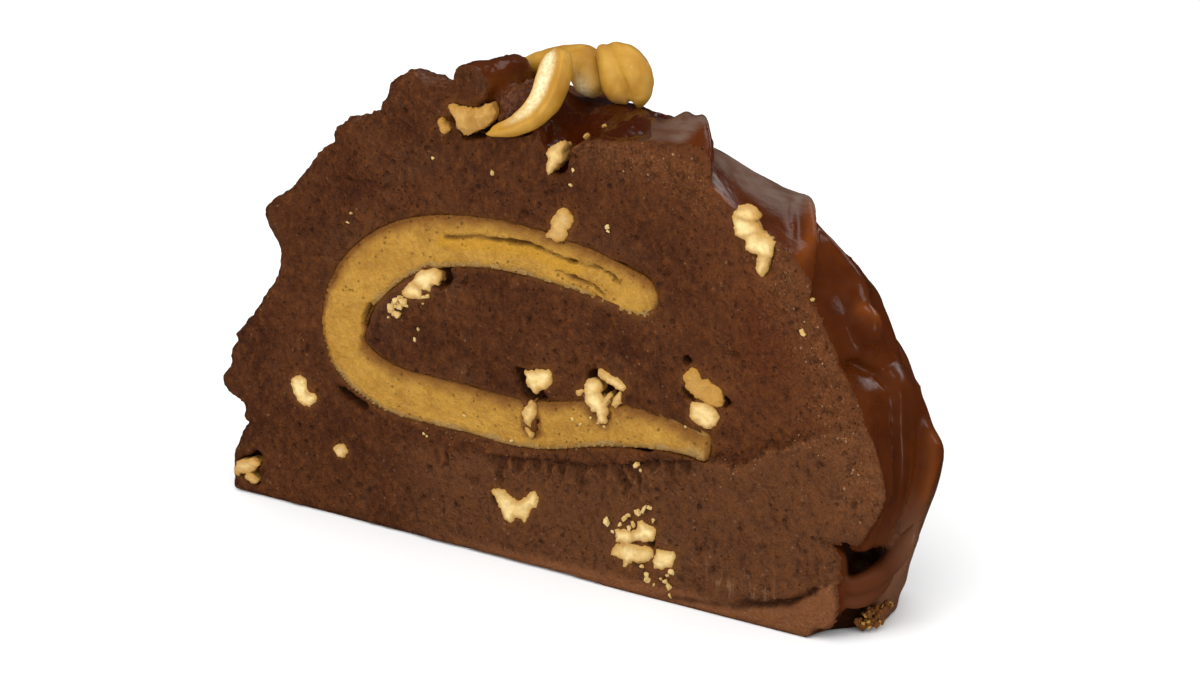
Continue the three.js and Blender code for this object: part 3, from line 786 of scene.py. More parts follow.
def tuckUnder(places, cover, margin, behind=-1.0):  # draws places in so that the cover lies over them
    tree = BVHTree.FromObject(cover, bpy.context.evaluated_depsgraph_get())
    around, depth = skinMap(places).T
    moved = places.copy()
    for i in np.nonzero((around > underSkin["from"]) & (around < underSkin["to"]) & (depth > behind))[0]:
        x, y, z = places[i]
        reach = math.hypot(x, z - hubHeight)
        if reach < underSkin["least"]:
            continue
        way = Vector((x / reach, 0, (z - hubHeight) / reach))
        level = max(y, frontDepth + underSkin["inset"])
        start = Vector((0, level, hubHeight)) + way * underSkin["rayFrom"]
        hit = tree.ray_cast(start * mm, -way)[0]
        if hit:
            most = math.hypot(hit.x / mm, hit.z / mm - hubHeight) - margin
            if reach > most:
                moved[i, 0] = x * most / reach
                moved[i, 2] = hubHeight + (z - hubHeight) * most / reach
    return moved


def laySideSkin(places, spots, folded):  # the folded side as one smooth sheet, without the solid's facets
    around, depth = spots.T
    reach = np.hypot(places[:, 0], places[:, 2] - hubHeight)
    low, high = sideSkin["from"] * fudgeShape["degreeLength"], sideSkin["to"] * fudgeShape["degreeLength"]
    knots = [
        (u, v)
        for u in np.arange(low - 4, high + 8, sideSkin["knots"])
        for v in np.arange(-2, 30, sideSkin["knots"])
    ]
    terms = np.stack(
        [np.exp(-((spots - knot) ** 2).sum(1) / sideSkin["reach"] ** 2) for knot in knots]
        + [np.ones(len(spots)), around / 30, depth / 12], 1,
    )
    used = (folded > 0.5) & (around > low - 6) & (around < high + 6)
    square = terms[used].T @ terms[used] + sideSkin["damping"] * np.eye(terms.shape[1])
    fit = terms @ np.linalg.solve(square, terms[used].T @ reach[used])
    weight = folded * band(around, low - 5, low + 5, high - 4, high + 4)
    weight = weight * ramp(depth, 0, sideSkin["rimBlend"])
    share = 1 + weight * (fit / reach - 1)
    behind = (depth > sideSkin["backFrom"]) & (around > low - 5) & (around < high + 4)
    share = np.where(behind, np.minimum(share, fit / reach), share)  # the back face stays within the sheet
    return drawOut(places, share)


def cutAway(piece, names):
    for name in names:
        made = addCutter(name, cutters[name])
        applyModifier(piece, "BOOLEAN", operation="DIFFERENCE", object=made, solver="EXACT")
        bpy.data.objects.remove(made)


def cutsOf(piece, stage):  # what lies in the front cut and in the back one
    depth, square = placesOf(piece)[:, 1], normalsOf(piece)[:, 1]
    near, least = cutReach[stage]["front"]
    front = (depth < frontDepth + near) & (square < -least)
    near, least = cutReach[stage]["back"]
    back = (depth > backDepth - near) & (square > least)
    return front, back


def ribbonDistance(places):
    tree = BVHTree.FromObject(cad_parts["caramel_ribbon"], bpy.context.evaluated_depsgraph_get())
    return np.array([tree.find_nearest(Vector(place) * mm)[3] for place in places]) / mm


def lineOffset(spots, line):  # distance from a drawn line, which side of it, and how far along in millimetres
    line = np.asarray(line, float)
    best = np.full(len(spots), 1e9)
    side = np.zeros(len(spots))
    along = np.zeros(len(spots))
    before = 0.0
    for start, end in zip(line[:-1], line[1:]):
        run = end - start
        length = math.hypot(*run)
        share = np.clip((spots - start) @ run / length ** 2, 0, 1)
        off = spots - start - share[:, None] * run
        away = np.hypot(off[:, 0], off[:, 1])
        closer = away < best
        best[closer] = away[closer]
        turned = (run[0] * off[:, 1] - run[1] * off[:, 0]) / length
        side[closer] = np.sign(turned[closer]) * away[closer]
        along[closer] = before + share[closer] * length
        before += length
    return best, side, along


def planeNoise(u, v, size, seed):  # smooth noise from -1 to 1 over a flat face
    cells = 256
    table = np.random.default_rng(seed).uniform(-1, 1, (cells, cells))
    a, b = u / size + 2 * cells, v / size + 2 * cells
    i, j = np.floor(a).astype(int), np.floor(b).astype(int)
    s, t = a - i, b - j
    s, t = s * s * (3 - 2 * s), t * t * (3 - 2 * t)
    i, j, nextI, nextJ = i % cells, j % cells, (i + 1) % cells, (j + 1) % cells
    low = table[i, j] * (1 - s) + table[nextI, j] * s
    high = table[i, nextJ] * (1 - s) + table[nextI, nextJ] * s
    return low * (1 - t) + high * t


def roughen(values, x, z, layers):  # adds layers of noise, each of a height, size and seed
    for height, size, seed in layers:
        values = values + height * planeNoise(x, z, size, seed)
    return values


nutOutlines = {  # where each nut shows in the front cut, in x and z
    "nut_heart": [
        [(-8.3, 11.3), (-7, 11.7), (-5.8, 11.7), (-4.9, 11.2), (-3.9, 10.7), (-3, 10.6), (-2, 11.2),
         (-1.2, 12), (-0.7, 12.7), (0.1, 13), (0.6, 12.3), (0.8, 11.3), (0.4, 10.4), (-0.5, 9.8),
         (-0.9, 8.5), (-1.4, 7.8), (-1.7, 6.8), (-2.1, 7.6), (-2.8, 7.9), (-3.8, 7.7), (-4, 7),
         (-4.5, 6.5), (-5.5, 7), (-6, 8.1), (-6.6, 8.8), (-7, 9.7), (-7.5, 10.6)],
    ],
    "nut_blocks": [
        [(15.2, 9.9), (17.4, 10.4), (18.3, 10.1), (18.5, 8.8), (17.4, 8.1), (15.3, 8), (15, 8.9)],
        [(19, 12.1), (19.7, 12.4), (21, 11.9), (22.4, 11.6), (22.4, 10.4), (21.7, 9.4),
         (20.5, 9.1), (18.8, 8.9), (18.3, 9.5), (18.4, 10.5), (19.4, 11)],
        [(15.2, 7.4), (17.4, 8), (19.2, 8), (21.4, 8.3), (22.1, 7.8),
         (22.1, 6.8), (21.2, 6.1), (19.6, 5.4), (18.1, 5.3), (17.2, 4),
         (16.5, 4), (16.6, 5.3), (15.3, 5.5), (14.2, 5.4), (14.8, 6.5)],
    ],
    "nut_block": [
        [(22.6, 8.3), (24.1, 8.6), (26.1, 8.8), (26.4, 8), (25.9, 7.1),
         (25.2, 5.9), (23.7, 5.2), (22.3, 5.2), (22.1, 6.2), (22.5, 7.3)],
    ],
    "nut_toasted": [
        [(28.4, 38.9), (29.3, 39.1), (30, 38.4), (30.4, 37.5), (31.4, 37.7), (32.6, 37.2),
         (33.9, 36.5), (34.2, 35.6), (33.9, 33.9), (32.9, 33.6), (31.6, 33.8), (30.6, 34.1),
         (29.4, 34.5), (28.5, 35.2), (27.6, 35.4), (27.2, 36.4), (27.2, 37.5), (27.7, 38.4)],
    ],
    "nut_pale_block": [
        [(28.7, 33.5), (30.6, 33.9), (32.2, 33.6), (33, 33.1), (33.4, 31.9), (32.9, 30.7),
         (31.9, 29.9), (30.6, 30.1), (29, 30.6), (28.3, 31.2), (28.5, 32.4)],
    ],
    "nut_stem": [
        [(9.8, 33.4), (10.9, 33.7), (12, 33.6), (12.4, 32.9), (12.2, 31.9), (12.6, 31.3),
         (12.9, 30.7), (13.8, 31.9), (14.4, 32), (14.2, 31), (13.3, 29.8), (13.7, 29.2),
         (13.3, 28.3), (13.7, 27.3), (12.8, 26.8), (12, 26.9), (12, 27.9), (11.5, 28.6),
         (10.7, 28.5), (10.4, 29.5), (9.7, 29.7), (9.7, 30.9), (9.5, 32)],
        [(14.8, 31.2), (15.5, 32.3), (15.8, 32.7), (16.2, 31.8), (15.7, 30.4), (15.1, 29.7), (14.6, 30.4)],
        [(8.4, 31.7), (9.1, 31.9), (9.5, 31.5), (9.1, 30.9), (8.4, 30.6), (8, 31.2)],
    ],
    "nut_sliver": [
        [(11.8, 35.4), (12.6, 35.5), (14, 35.1), (15.5, 34.8), (16.6, 34.2), (17.3, 33.5),
         (16.6, 32.9), (15.3, 33.1), (14, 33.7), (12.9, 34.1), (12.4, 34.2), (12, 34.7)],
    ],
    "nut_wedge": [
        [(-1.8, 32.5), (-0.3, 32.9), (1.5, 33.5), (3, 33.6), (3.6, 32.8), (3.2, 31.5),
         (2.3, 30.5), (1.2, 30.2), (0.4, 29.2), (-0.2, 29.7), (-0.9, 30.2), (-1.3, 31.3)],
    ],
    "nut_spike": [
        [(-0.4, 28), (0.2, 27.2), (0.4, 26), (-0.2, 24.8), (-0.6, 23.7),
         (-1.3, 23.9), (-1.9, 24.9), (-2.1, 25.9), (-1.3, 27)],
        [(-1.7, 23.3), (-1, 23.1), (-0.2, 22.4), (-0.6, 21.7), (-1.3, 22.4)],
    ],
    "nut_inner": [
        [(-22.8, 43.4), (-22, 44.7), (-20.8, 45.6), (-19.2, 46.1), (-18.1, 46.3),
         (-17.3, 45.7), (-17.2, 44.8), (-17.8, 43.8), (-18.9, 43.5), (-19.5, 42.4),
         (-20.7, 42.3), (-21.2, 42.7), (-22.2, 43.1)],
        [(-24.6, 42.1), (-23.2, 43.2), (-22.2, 42.9), (-21.3, 42.6), (-21.1, 41.8),
         (-21.1, 40.8), (-22.1, 40.9), (-23.2, 40.6), (-24.2, 40.7), (-24.8, 41.1)],
    ],
    "nut_half_moon": [
        [(-47.4, 22.6), (-46.7, 23.2), (-45.5, 23.4), (-44.5, 23), (-44.3, 22), (-44.3, 21.1),
         (-44.2, 20.5), (-42.9, 20.7), (-42.3, 20), (-42.8, 19.2), (-44, 18.3), (-45.3, 18.2),
         (-46.3, 18.7), (-46.9, 19.4), (-47.5, 20.4), (-47.6, 21.5)],
    ],
    "nut_foot": [
        [(-59.6, 5.4), (-58.1, 5.8), (-56.6, 6.4), (-55.5, 6.2), (-54.9, 5.8), (-55.8, 5.1), (-56.2, 4.5),
         (-57.1, 4), (-58.4, 3.7), (-59.5, 3.4), (-59.7, 2.7), (-60.1, 3.1), (-60.3, 4)],
        [(-57.8, 3.6), (-56.9, 3.8), (-55.9, 3.3), (-55.5, 2.5), (-56.3, 2.2), (-57.4, 2.5), (-58, 2.9)],
    ],
    "nut_small": [[(-39.4, 11.8), (-38.5, 12.6), (-37.3, 12.9), (-36.5, 12), (-37.4, 10.8), (-38.6, 10.5)]],
    "nut_stub": [
        [(5.6, 60.1), (6.3, 59.9), (7, 59.2), (7.5, 58.2), (7, 57.3), (6.3, 56.9),
         (6.4, 55.8), (5.7, 55.1), (4.6, 54.7), (3.5, 54.8), (2.4, 54.8), (3, 55.9),
         (3.5, 56.6), (3.5, 57.5), (4.1, 58.6), (4.8, 59.5)],
    ],
    "nut_crest": [
        [(5.4, 70.4), (5.8, 70), (5.6, 69.5), (5.2, 68.8), (5.6, 68.2), (5.2, 67.4),
         (4.5, 66.8), (4, 66.1), (3.6, 65.4), (3, 65), (2.7, 65.6), (2.9, 66.6),
         (3.1, 67.5), (2.7, 68.4), (3.2, 69), (4.2, 69.7)],
    ],
    "nut_shoulder": [
        [(35.3, 64.3), (36.6, 65.5), (37.9, 65.7), (39, 65.3), (39.6, 64.2), (38.7, 63.4), (36.8, 63.4)],
        [(35.3, 63.8), (36.8, 64), (38.3, 63.8), (39.6, 63.1),
         (40.1, 62.2), (38.4, 61.2), (37, 60.7), (35.9, 61.1)],
        [(37.4, 61.5), (39.2, 62.2), (41.1, 61.9), (42.4, 60.6),
         (42.1, 58.8), (40.6, 58.4), (39.1, 58.7), (37.8, 59.2)],
        [(39.8, 58.5), (41.6, 59.1), (41.2, 56.6), (40.4, 55.3), (39.5, 55.9)],
    ],
    "nut_under_roll": [
        [(-15.5, 73.1), (-14, 73.3), (-12.5, 73.2), (-11.2, 73.2), (-10.7, 72.5), (-10.5, 71.3),
         (-10.1, 69.9), (-11.1, 69.1), (-12.6, 68.8), (-13.5, 69.4), (-14.2, 70.6), (-14.8, 71.7)],
        [(-10.8, 73.1), (-9.3, 73.6), (-7.9, 74.3), (-7.1, 73.2), (-7, 72.3),
         (-7.9, 71.3), (-9, 70.4), (-9.9, 70.1), (-10.3, 71.1), (-10.7, 72.2)],
        [(-17.1, 70.4), (-16.5, 70.9), (-16.1, 70), (-15.2, 69.3),
         (-16, 68.7), (-16.7, 68.3), (-16.9, 69.4)],
    ],
}
hollows = {  # holes in the front cut, in x and z, with painted shade in them
    "byWedge": [
        (-3.4, 32.6), (-1.8, 32.5), (-1.3, 31.2), (-0.7, 29.9), (0.2, 29.5), (1.3, 29.9),
        (2.1, 28.9), (1, 28), (-0.4, 27.8), (-1.6, 28.4), (-2.6, 29.6), (-3.2, 31),
    ],
    "byStem": [
        (10.2, 34.6), (11.8, 35.1), (12.4, 34.2), (13.7, 34), (15.1, 33.3), (16, 32.8), (15.2, 31.4),
        (14.2, 30.4), (13.1, 30.8), (12.6, 32), (12.2, 33), (11.4, 33.4), (10, 33.5),
    ],
    "byInner": [(-17.3, 46.7), (-16, 46.6), (-15.4, 45.3), (-16.2, 43.9), (-17.6, 43.5), (-17.2, 44.8)],
    "byCrest": [
        (2.5, 68.7), (3.6, 70), (5.1, 70.8), (6.5, 71.2), (6.7, 70.4),
        (6, 69.9), (5.2, 70.4), (4.2, 69.8), (3.1, 68.9),
    ],
    "inCrest": [(5.2, 69.6), (6, 69.7), (6.1, 68.8), (5.4, 68.5)],
    "underRoll": [
        (-13.5, 69.2), (-12.6, 68.7), (-11.1, 69), (-9.6, 69.8),
        (-8.8, 69.8), (-9.2, 68.9), (-11.1, 68.5), (-13, 68.2),
    ],
    "inBlocks": [(21.4, 9.5), (21.9, 9.6), (21.9, 8.5), (21.4, 8.5)],
    "byToasted": [(27.2, 35.5), (28.3, 35.2), (29.2, 34.4), (28.7, 34), (27.8, 34.6)],
    "besideToasted": [(34.1, 35.1), (34.7, 35.4), (34.9, 34.5), (34.2, 34)],
    "aboveToasted": [(27.2, 39.9), (27.9, 40.5), (28.2, 40), (27.5, 39.4)],
    "ribbonFoot": [
        (-38.2, 22.5), (-37, 22.3), (-34.2, 21.3), (-32.4, 20.6), (-33, 20), (-35.4, 20.7), (-37.4, 21.3),
    ],
    "bend": [(-32.8, 36.5), (-31.5, 37.7), (-31.2, 37.1), (-32, 34.9), (-32.6, 34.1)],
    "byHeart": [(-7.9, 10.7), (-7.4, 10.2), (-7, 9.2), (-7.4, 9), (-7.9, 9.9)],
}
leftOutline = [  # the crumbly left edge of the front cut, from the foot up
    (-60.9, -0.8), (-61.3, 0.5), (-61.1, 2), (-61.4, 3.4), (-60.9, 4.8), (-61.1, 5.8), (-60.4, 7.4),
    (-59.6, 9.5), (-58.9, 12.1), (-58.1, 14.4), (-59.1, 15.6), (-61, 16.4), (-62.4, 18.1), (-62.6, 19.8),
    (-61.1, 22.6), (-60.4, 24.8), (-59, 26.8), (-59.4, 27.8), (-57.4, 30.6), (-55.4, 32.5), (-52.8, 35.7),
    (-50.4, 40.1), (-49.4, 42.6), (-49.5, 44.1), (-51.3, 47), (-52.6, 49.6), (-51.6, 51.2), (-46.4, 55.2),
    (-42.4, 59.6), (-39.7, 62), (-37.9, 63.4), (-38, 65.1), (-37, 66.7), (-35, 67.6), (-33.7, 67.5),
    (-31.1, 68.8), (-28.7, 70.5), (-28.8, 71.7), (-27.3, 73.3), (-26.8, 74.9), (-24.9, 76.3), (-22.8, 77.2),
    (-20.9, 76.9), (-20, 75.6),
]


def insideOf(spots, outline, reach):  # 1 in a closed outline, fading outwards, or inwards below 0
    line = np.asarray(outline, float)
    made = np.zeros(len(spots))
    edge = abs(reach) + 0.1
    close = np.all((spots > line.min(0) - edge) & (spots < line.max(0) + edge), axis=1)
    near = spots[close]
    away = lineOffset(near, np.concatenate([line, line[:1]]))[0]
    within = np.zeros(len(near), bool)
    for (x0, z0), (x1, z1) in zip(line, np.roll(line, -1, axis=0)):
        if z0 != z1:
            crossing = (near[:, 1] < z0) != (near[:, 1] < z1)
            within ^= crossing & (near[:, 0] < x0 + (near[:, 1] - z0) * (x1 - x0) / (z1 - z0))
    if reach > 0:
        made[close] = np.where(within, 1, ramp(away, reach, 0))
    else:
        made[close] = within * ramp(away, 0, -reach)
    return made


faceMarks = {  # marks that the knife left in the cut face, in x and z; noise has height, size and seed
    "bumps": [(0.22, 9, 1), (0.16, 4, 2), (0.13, 1.7, 3), (0.10, 0.9, 4)],
    "dragTeeth": {
        "line": [(-12.2, 16.6), (-0.7, 18.0), (10.5, 19.4), (21.4, 22.4), (30.6, 24.6)],
        "pitch": 3.2, "deep": 0.9, "reach": 6.5, "heights": (0.35, 1.0), "seed": 12, "paintedShade": 0.4, "rim": 0.25,
        "noise": [(1.5, 4.5, 11), (0.3, 0.8, 20)],
    },
    "tornLedge": {
        "line": [(29.5, 24.2), (34, 24.9), (37.2, 24.8), (42.3, 28.7), (47.5, 31), (53.4, 34.3)],
        "step": 1.0, "reach": 6.0, "paintedShade": 0.5,
        "noise": [(0.5, 1.2, 13), (0.3, 0.6, 14)],
    },
    "lipCrease": {
        "line": [(20, 0.2), (26.8, 1.1), (35.8, 2.1), (41.5, 3.4), (46.2, 4.9), (50.4, 7.7)],
        "deep": 0.9, "wide": 0.6, "paintedShade": 0.85,
        "noise": [(0.25, 1.6, 15)],
    },
    "streaks": {"at": (41.5, 46.0), "half": (5.0, 8.5), "pitch": 0.85, "long": 9, "deep": 0.35, "seed": 16},
    "crumblyRim": {
        "line": [(43, 57), (48, 49), (52.5, 40), (56, 32), (58.3, 25)],
        "reach": 4.6, "deep": 0.55, "crumbly": 1.0,
    },
    "tornTop": {"line": [(8, 70.5), (18, 70), (28, 69), (31, 66)], "reach": 3.2, "deep": 0.5, "crumbly": 1.0},
    "bandEdge": {
        "line": [(-28, 20.6), (-18, 19.4), (-9, 18.2), (4, 19.6), (18, 21.6)],
        "reach": 1.6, "deep": 0.5, "crumbly": 0.45,
    },
    "edgeNoise": [(0.8, 2.5, 17)],
    "crumbs": [(0.7, 1.1, 18), (0.6, 0.7, 19)],
    "pits": {
        "count": 130, "radius": (0.32, 0.5), "deep": (0.15, 0.5), "long": (1.0, 2.6), "seed": 5,
        "paintedShade": [0.3, 0.4, 0.75],
    },
    "smears": {"count": 34, "length": (5, 16), "wide": (0.4, 1.1), "height": 0.2, "seed": 8},
    # painted highlights on smooth strokes near the foot: middle and half sizes
    "highlightStrokes": {"at": (37.0, 5.4), "half": (7.0, 3.4)},
    "lowNoise": [(0.6, 1.3, 21)],
    "nutPocket": 0.9,
    "hollow": 2.2,
}


def sinkPits(x, z, lift, paintedShade):
    pits = faceMarks["pits"]
    seeded = np.random.default_rng(pits["seed"])
    for k in range(pits["count"]):
        middleX = seeded.uniform(-60, 58) if k % 3 else seeded.uniform(-58, 0)
        middleZ = seeded.uniform(1, 74)
        radius, deep = seeded.uniform(*pits["radius"]), seeded.uniform(*pits["deep"])
        turn, long = seeded.uniform(0, math.pi), seeded.uniform(*pits["long"])
        darker = seeded.choice(pits["paintedShade"])
        close = np.abs(x - middleX) < 6 * radius
        a, b = x[close] - middleX, z[close] - middleZ
        along, across = a * math.cos(turn) + b * math.sin(turn), b * math.cos(turn) - a * math.sin(turn)
        pit = bell(np.hypot(along / long, across), radius, 4)
        lift[close] -= deep * pit
        # painted shade in each pit
        paintedShade[close] = np.maximum(paintedShade[close], darker * pit)


def drawSmears(spots, lift):
    smears = faceMarks["smears"]
    seeded = np.random.default_rng(smears["seed"])
    for _ in range(smears["count"]):
        middle = np.array((seeded.uniform(-50, 50), seeded.uniform(4, 70)))
        turn = math.radians(seeded.choice([-55, -40, 80, 95, 100]) + seeded.uniform(-10, 10))
        run = np.array((math.cos(turn), math.sin(turn))) * seeded.uniform(*smears["length"]) / 2
        away = lineOffset(spots, [middle - run, middle + run])[0]
        height = seeded.choice([-1, -1, 1]) * smears["height"]
        lift += height * bell(away, seeded.uniform(*smears["wide"]))


def cutTeeth(spots, lift, paintedShade):  # notches under the ribbon, with painted shade in them, and the torn rim that is left round them
    x, z = spots.T
    teeth = faceMarks["dragTeeth"]
    away, side, along = lineOffset(spots, teeth["line"])
    along = roughen(along, x, z, teeth["noise"])
    tooth = np.floor(along / teeth["pitch"]).astype(int)
    heights = np.random.default_rng(teeth["seed"]).uniform(*teeth["heights"], 200)
    tall = heights[tooth % len(heights)] * teeth["reach"]
    share = np.abs(along / teeth["pitch"] - tooth - 0.5) * 2
    below = np.where(side < 0, away, 99)
    within = 1.1 - below / tall - share
    shown = (side < 0.3) * band(along, 1, 5, 40, 44)
    notch = np.clip(2.5 * within, 0, 1) * shown
    lift -= teeth["deep"] * notch
    # painted shade in the notches
    np.maximum(paintedShade, teeth["paintedShade"] * notch, out=paintedShade)
    torn = bell(within + 0.08, 0.14) * shown
    lift += teeth["rim"] * torn
    return torn


def stepLedge(spots, lift, paintedShade):  # the fudge below the torn ledge stands out further than above it, with painted shade along the step
    x, z = spots.T
    ledge = faceMarks["tornLedge"]
    away, side, along = lineOffset(spots, ledge["line"])
    side = roughen(side, x, z, ledge["noise"])
    fade = band(along, 0, 3, 20, 26) * bell(away, ledge["reach"])
    lift += ledge["step"] * fade * np.where(side < 0, 0.6, -0.4)
    # painted shade along the step
    np.maximum(paintedShade, ledge["paintedShade"] * fade * bell(side - 0.5, 0.5), out=paintedShade)
    return np.minimum(1.8 * bell(side, 0.9) * (side < 0.2) * fade, 1)


def creaseLip(spots, lift, paintedShade):  # the smooth lip along the foot, with a crease above it and painted shade in the crease
    x, z = spots.T
    crease = faceMarks["lipCrease"]
    away, side, along = lineOffset(spots, crease["line"])
    away = np.abs(roughen(away, x, z, crease["noise"]))
    ends = ramp(along, 0, 8)
    lift -= crease["deep"] * ends * bell(away, crease["wide"])
    # painted shade in the crease
    np.maximum(paintedShade, crease["paintedShade"] * ends * bell(away, 0.8 * crease["wide"]), out=paintedShade)
    lip = ((side < -0.2) & (x > 20)) * ends
    lip = np.maximum(lip, ramp(z - 0.02 * x, 2.6, 1.2) * ramp(x, -30, 5))
    lift *= 1 - 0.75 * lip
    lift += 0.25 * lip
    return lip


def faceRelief(x, z):  # how far the marks stand out of the cut face, and masks for its finish, painted shade and painted highlights among them
    spots = np.stack([x, z], 1)
    lift = roughen(0.0, x, z, faceMarks["bumps"])
    paintedShade = np.zeros(len(x))
    sinkPits(x, z, lift, paintedShade)
    drawSmears(spots, lift)
    torn = cutTeeth(spots, lift, paintedShade)
    crumbly = np.maximum(stepLedge(spots, lift, paintedShade), 0.8 * torn)
    border = [(-34, 16)] + faceMarks["dragTeeth"]["line"] + faceMarks["tornLedge"]["line"][2:] + [(58, 36)]
    side = roughen(lineOffset(spots, border)[1], x, z, faceMarks["lowNoise"])
    low = ramp(side, 0.3, -0.5) * ramp(x, -34, -14)
    lip = creaseLip(spots, lift, paintedShade)
    streaks, highlightStrokes = faceMarks["streaks"], faceMarks["highlightStrokes"]
    streaked = ovalMask(spots, streaks["at"], streaks["half"], 2)
    grooves = planeNoise(x / streaks["pitch"], z / streaks["long"], 1, streaks["seed"])
    lift += streaked * streaks["deep"] * grooves
    # where the strokes get painted highlights
    strokeHighlightMask = ovalMask(spots, highlightStrokes["at"], highlightStrokes["half"])
    for name in ("crumblyRim", "tornTop", "bandEdge"):
        mark = faceMarks[name]
        away = roughen(lineOffset(spots, mark["line"])[0], x, z, faceMarks["edgeNoise"])
        near = bell(np.maximum(away, 0), mark["reach"])
        lift += near * mark["deep"] * roughen(0.0, x, z, faceMarks["crumbs"])
        crumbly = np.maximum(crumbly, near * mark["crumbly"])
    for outline in hollows.values():
        inside = insideOf(spots, outline, 0.45)
        lift -= faceMarks["hollow"] * inside
        # painted shade in each hollow
        paintedShade = np.maximum(paintedShade, inside)
    halo = np.zeros(len(x))
    for outlines in nutOutlines.values():
        for outline in outlines:
            halo = np.maximum(halo, insideOf(spots, outline, 1.3))
            pocket = insideOf(spots, outline, -0.5)
            lift = lift * (1 - pocket) - faceMarks["nutPocket"] * pocket
    masks = {"paintedShade": paintedShade, "crumbly": crumbly, "lip": lip, "low": low, "halo": halo}
    return lift, {**masks, "streaked": streaked, "strokeHighlightMask": strokeHighlightMask}


def fitLeft(places):  # draws the left side out or in to its crumbly outline
    turn = np.degrees(np.arctan2(places[:, 2] - hubHeight, -places[:, 0]))
    reach = np.hypot(places[:, 0], places[:, 2] - hubHeight)
    line = np.asarray(leftOutline)
    line = np.concatenate([np.linspace(a, b, 12, endpoint=False) for a, b in zip(line[:-1], line[1:])])
    lineTurn = np.degrees(np.arctan2(line[:, 1] - hubHeight, -line[:, 0]))
    order = np.argsort(lineTurn)
    wanted = np.interp(turn, lineTurn[order], np.hypot(line[:, 0], line[:, 1] - hubHeight)[order])
    steps = np.arange(-27, 72, 0.75)
    depth = places[:, 1] - frontDepth
    shown = places[:, 1] < frontDepth + 1.0
    now = np.array([reach[shown & (np.abs(turn - step) < 0.6)].max(initial=0) for step in steps])
    now = np.interp(turn, steps, now)
    rough = 0.30 * planeNoise(turn, depth, 0.9, 51)
    rough = rough + 0.35 * planeNoise(turn, depth, 2.2, 52) * ramp(depth, 0, 4)
    share = ramp(reach / now, 0.84, 0.98) * band(turn, -26, -23, 63, 67)
    share = share * ramp(places[:, 2], 0.2, 2.0)
    return drawOut(places, 1 + share * (wanted - now + rough) / reach)


def makeCore():  # the solid's copy with its holes cut and its folded side laid smooth
    piece = copySolid("fudge", "fudge_slice")
    cutAway(piece, cutters)
    loose = ("nut_under_roll", "nut_shoulder", "nut_crest", "nut_foot")  # their pockets stay open
    joinInto(piece, [copySolid(name, name + "Fill") for name in nutOutlines if name not in loose])
    remesh(piece, fudgeShape["coreVoxel"])
    front, back = cutsOf(piece, "shape")
    places = placesOf(piece)
    skin = 1.0 - spread(piece, (front | back | (places[:, 2] < baseReach)).astype(float), fudgeShape["blur"])
    folded = skin * ramp(skinMap(places)[:, 0], *fudgeZones["foldedCore"])
    setGroup(piece, "folded", folded)
    evenOut(piece, fudgeShape["coreSmoothing"], "folded")
    places = placesOf(piece)
    places = laySideSkin(places, skinMap(places), folded)
    x, y, z = places.T
    slope = ramp(y, *fudgeZones["slopeDepth"]) * ramp(x, *fudgeZones["slopeAlong"])
    places[:, 2] -= fudgeShape["backSlope"] * (slope * ramp(z, *fudgeZones["slopeHeight"]))
    most = ridgeEnd["top"] - ridgeEnd["fall"] * (x - ridgeEnd["from"])
    most = most - ridgeEnd["backFall"] * np.maximum(y - ridgeEnd["backFrom"], 0)
    covered = (x > ridgeEnd["from"]) & (x < ridgeEnd["to"]) & (y > ridgeEnd["front"])
    places[:, 2] = np.where(covered, np.minimum(z, most), z)
    return piece, places


def makeCovers():  # the sheets of the folded side in one, with the holes at the foot cut into them
    covers = [addSheet(name, rows) for name, rows in sheets.items()]
    for cover in covers:
        if cover.name in ("lowerLobe", "skirt"):
            remesh(cover, fudgeShape["voxel"])  # closed, so that the holes can be cut
            cutAway(cover, ["footHole", "footHoleLow"])
    joinInto(covers[0], covers[1:])
    return covers[0]


def makeFudge():
    piece, places = makeCore()
    cover = makeCovers()
    setPlaces(piece, tuckUnder(places, cover, sheetShape["cover"]))
    lumps = [addLump(name, lump) for name, lump in crags.items()] + [addRoll()]
    lumps += [addTube(fold, 1.0)[0] for fold in footFolds]
    joinInto(piece, [cover] + lumps)
    remesh(piece, fudgeShape["voxel"])
    places = placesOf(piece)
    front, back = cutsOf(piece, "shape")
    base = places[:, 2] < baseReach
    inside = (ribbonDistance(places) < fudgeShape["byRibbon"]) & ~front & ~back
    skin = 1.0 - spread(piece, (front | back | base | inside).astype(float), fudgeShape["blur"])
    folded = skin * ramp(skinMap(places)[:, 0], *fudgeZones["folded"])
    onFace = np.maximum(front, back) * (1 - skin) * ~base
    print("fudge remeshed,", len(places), "vertices")
    piece.vertex_groups.clear()
    for name, weights in (("folded", folded), ("crags", skin - folded), ("faces", onFace)):
        setGroup(piece, name, weights)
    for name, rounds in fudgeShape["smoothing"].items():
        evenOut(piece, rounds, name)
    for name, (size, detail, height, group) in fudgeWaves.items():
        displace(piece, cloudTexture(name, size, detail), height, group)
    places = placesOf(piece)
    places[:, 1] = np.maximum(places[:, 1], frontDepth - 0.1)
    lift, masks = faceRelief(np.where(back, -places[:, 0], places[:, 0]), places[:, 2])
    places[:, 1] += np.where(back, lift, -lift) * onFace
    setPlaces(piece, fitLeft(places))
    masks["face"] = np.ones(len(places))  # where the cuts lie, so that their pits keep their finish
    onCuts = spread(piece, (front | back).astype(float), fudgeShape["blur"])
    for name, values in masks.items():
        setMask(piece, name, values * onCuts)
    hidden = spread(piece, (inside | base).astype(float), fudgeShape["blur"])
    thinPiece(piece, fudgeShape["mostTriangles"], hidden)
    return piece


